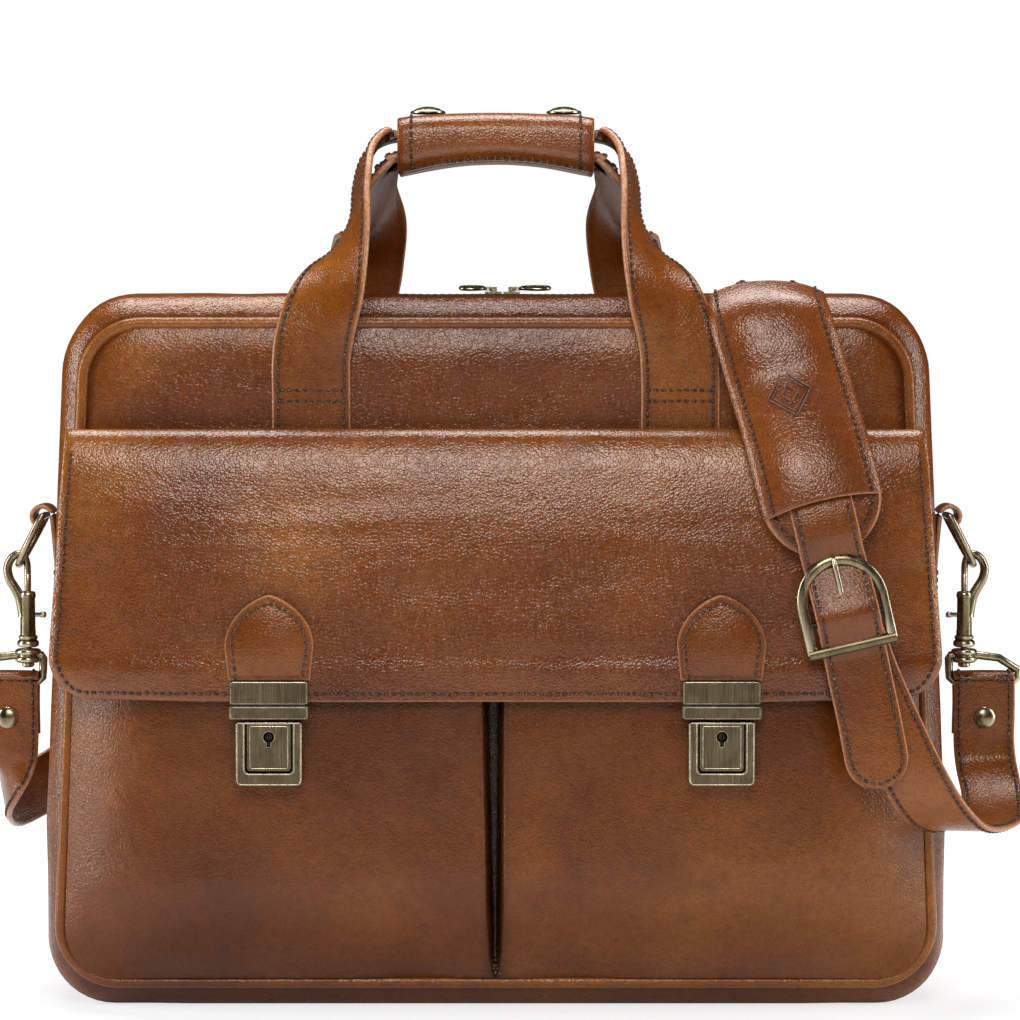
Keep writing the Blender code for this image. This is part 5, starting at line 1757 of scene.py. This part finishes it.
def make_swivel(tag, side):
    """A wire loop for the strap, with a bored boss on top for the hook's stem."""
    x, z = side * SWIVEL_BAR.x, SWIVEL_BAR.z
    top, head = side * HOOK_X, SWIVEL_HEAD_Z
    path = [(x, z)] + swivel_half(x, z, top, 1) + [(top, head - 0.0032)] + swivel_half(x, z, top, -1)[::-1]
    loop = tube("loop", [Vector((px, 0, pz)) for px, pz in path], SWIVEL_WIRE, RING_BRASS, True, 14, BACK)
    boss = turned("boss", (top, 0, head - 0.0060), UP, BOSS, RING_BRASS, 24)
    cut(boss, turned("bore", (top, 0, 0.140), UP, BORE, RING_BRASS, 20))
    coils = []
    for coil_z in (head - 0.0052, head - 0.0018):
        wire = [Vector((px, py, coil_z)) for px, py in arc((top, 0), COIL_R, 0, 345, 23)]
        coils.append(tube("coil", wire, COIL_WIRE, RING_BRASS, True, 10, UP))
    made = merge(f"Swivel_{tag}", [loop, boss] + coils)
    finish_piece(made, "bag", "antique_brass", f"swivel_loop_{tag}")


def make_pull(tag, side):
    """Flat drop-shaped pull with a raised rim and a wire link, leaning a little to the front."""
    low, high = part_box(f"zip_pull_{tag}")
    slider_low, slider_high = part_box(f"zip_slider_{tag}")
    hinge_x = (slider_low.x + slider_high.x) / 2
    z = (low.z + high.z) / 2
    tip = high.x if side > 0 else low.x
    near = hinge_x + side * 0.0045
    length = abs(tip - near)
    lean = radians(9)
    wide = Vector((0, cos(lean), sin(lean)))
    out = Vector((0, -sin(lean), cos(lean)))
    along = Vector((side, 0, 0))
    origin = Vector((near, 0, z + 0.0003))
    rim = []
    for step in range(36):
        angle = 2 * pi * step / 36
        reach = 0.5 - 0.5 * cos(angle)
        half = 0.0040 * sin(angle) * (0.72 + 0.28 * reach)
        rim.append(origin + along * (length * reach) + wide * half)
    ring = tube("rim", rim, 0.0009, RING_BRASS, True, 10, out)
    points = [point + out * 0.0007 for point in rim] + [point - out * 0.0007 for point in rim]
    plate = publish("plate", points, ring_faces(2, 36), RING_BRASS, sharp=40)
    link = []
    for step in range(20):
        angle = 2 * pi * step / 20
        x = hinge_x + side * (0.0026 + 0.0030 * cos(angle))
        link.append(Vector((x, 0, z)) + wide * (0.0023 * sin(angle)))
    wire = tube("link", link, 0.00055, RING_BRASS, True, 8, out)
    made = merge(f"Zip_pull_{tag}", [plate, ring, wire])
    finish_piece(made, f"pull_{tag}", "antique_brass", f"zip_pull_{tag}")


def make_sliders():
    for tag, side in (("left", -1), ("right", 1)):
        recolour(f"zip_slider_{tag}", RING_BRASS)
        make_pull(tag, side)


# ---------------------------------------------------------------- stage

def make_world():
    """White behind the bag, and a dimmer room that lights it."""
    world = bpy.data.worlds.new("Studio")
    world.use_nodes = True
    tree = world.node_tree
    room = tree.nodes["Background"]
    room.inputs["Color"].default_value = (1.0, 0.98, 0.95, 1)
    room.inputs["Strength"].default_value = 0.05
    backdrop = tree.nodes.new("ShaderNodeBackground")
    backdrop.inputs["Color"].default_value = (1, 1, 1, 1)
    backdrop.inputs["Strength"].default_value = 1.0
    seen = tree.nodes.new("ShaderNodeLightPath")
    mixed = tree.nodes.new("ShaderNodeMixShader")
    tree.links.new(seen.outputs["Is Camera Ray"], mixed.inputs["Fac"])
    tree.links.new(room.outputs["Background"], mixed.inputs[1])
    tree.links.new(backdrop.outputs["Background"], mixed.inputs[2])
    tree.links.new(mixed.outputs["Shader"], tree.nodes["World Output"].inputs["Surface"])
    bpy.context.scene.world = world


CAMERA_PLACE = Vector((0.0064, -1.8, 0.30))
CAMERA_AIM = Vector((0.0064, 0, 0.2216))
CAMERA_LENS = 138.6
LIGHT_AIM = Vector((0, 0, 0.20))

# Name, place, width and height, and watts of each lamp
LAMPS = (
    ("Key", (-0.04, -1.30, 1.00), (0.60, 0.60), 13.5),
    ("Left", (-1.3, -0.22, 0.45), (0.25, 1.1), 13.0),
    ("Right", (1.3, -0.22, 0.55), (0.25, 1.1), 10.0),
    ("Top", (0.0, 0.15, 1.3), (1.2, 0.45), 20.0),
)


def make_floor():
    """A white floor that glows a little more with distance, and lights the bag only dimly."""
    bpy.ops.mesh.primitive_plane_add(size=6, location=(0, 0, -0.0002))
    floor = bpy.context.object
    floor.name = "Floor"
    white = Nodes("floor")
    seen = white.add("ShaderNodeLightPath").outputs["Is Camera Ray"]
    white.put(white.shader.inputs["Base Color"], white.mix(seen, (0.97, 0.97, 0.97), (0.30, 0.30, 0.30)))
    white.shader.inputs["Roughness"].default_value = 0.9
    white.shader.inputs["Specular IOR Level"].default_value = 0.0
    white.shader.inputs["Emission Color"].default_value = (1, 1, 1, 1)
    away = white.add("ShaderNodeVectorMath", operation="LENGTH")
    white.put(away.inputs[0], white.add("ShaderNodeTexCoord").outputs["Object"])
    glow = white.scaled(away.outputs["Value"], 0.35, 0.75, 0.72, 1.0)
    strength = white.add("ShaderNodeMix", data_type="FLOAT")
    white.put(strength.inputs["Factor"], seen)
    strength.inputs["A"].default_value = 0.10
    white.put(strength.inputs["B"], glow)
    white.put(white.shader.inputs["Emission Strength"], strength.outputs["Result"])
    floor.data.materials.append(white.material)


def make_stage():
    make_floor()
    make_world()
    for name, place, size, power in LAMPS:
        light = bpy.data.lights.new(name, "AREA")
        light.shape = "RECTANGLE"
        light.size, light.size_y = size
        light.energy = power
        lamp = bpy.data.objects.new(name, light)
        lamp.location = place
        aim = LIGHT_AIM - Vector(place)
        lamp.rotation_euler = aim.to_track_quat("-Z", "Y").to_euler()
        bpy.context.scene.collection.objects.link(lamp)
    camera = bpy.data.objects.new("Camera", bpy.data.cameras.new("Camera"))
    camera.location = CAMERA_PLACE
    aim = CAMERA_AIM - CAMERA_PLACE
    camera.rotation_euler = aim.to_track_quat("-Z", "Y").to_euler()
    camera.data.lens = CAMERA_LENS
    camera.data.sensor_width = 36
    bpy.context.scene.collection.objects.link(camera)
    bpy.context.scene.camera = camera
    bpy.context.scene.view_settings.view_transform = "Standard"


make_gussets()
make_panel("front", -1)
make_panel("back", 1)
make_zip()
make_pockets()
make_flap()
make_locks()
make_handle()
make_straps()
make_pad()
make_buckle()
make_prong()
for label, hand in (("left", -1), ("right", 1)):
    make_ring(label, hand)
    make_side_tab(label, hand)
    make_hook(label, hand)
    make_swivel(label, hand)
make_sliders()
recolour("base_board", LINING)
make_stage()
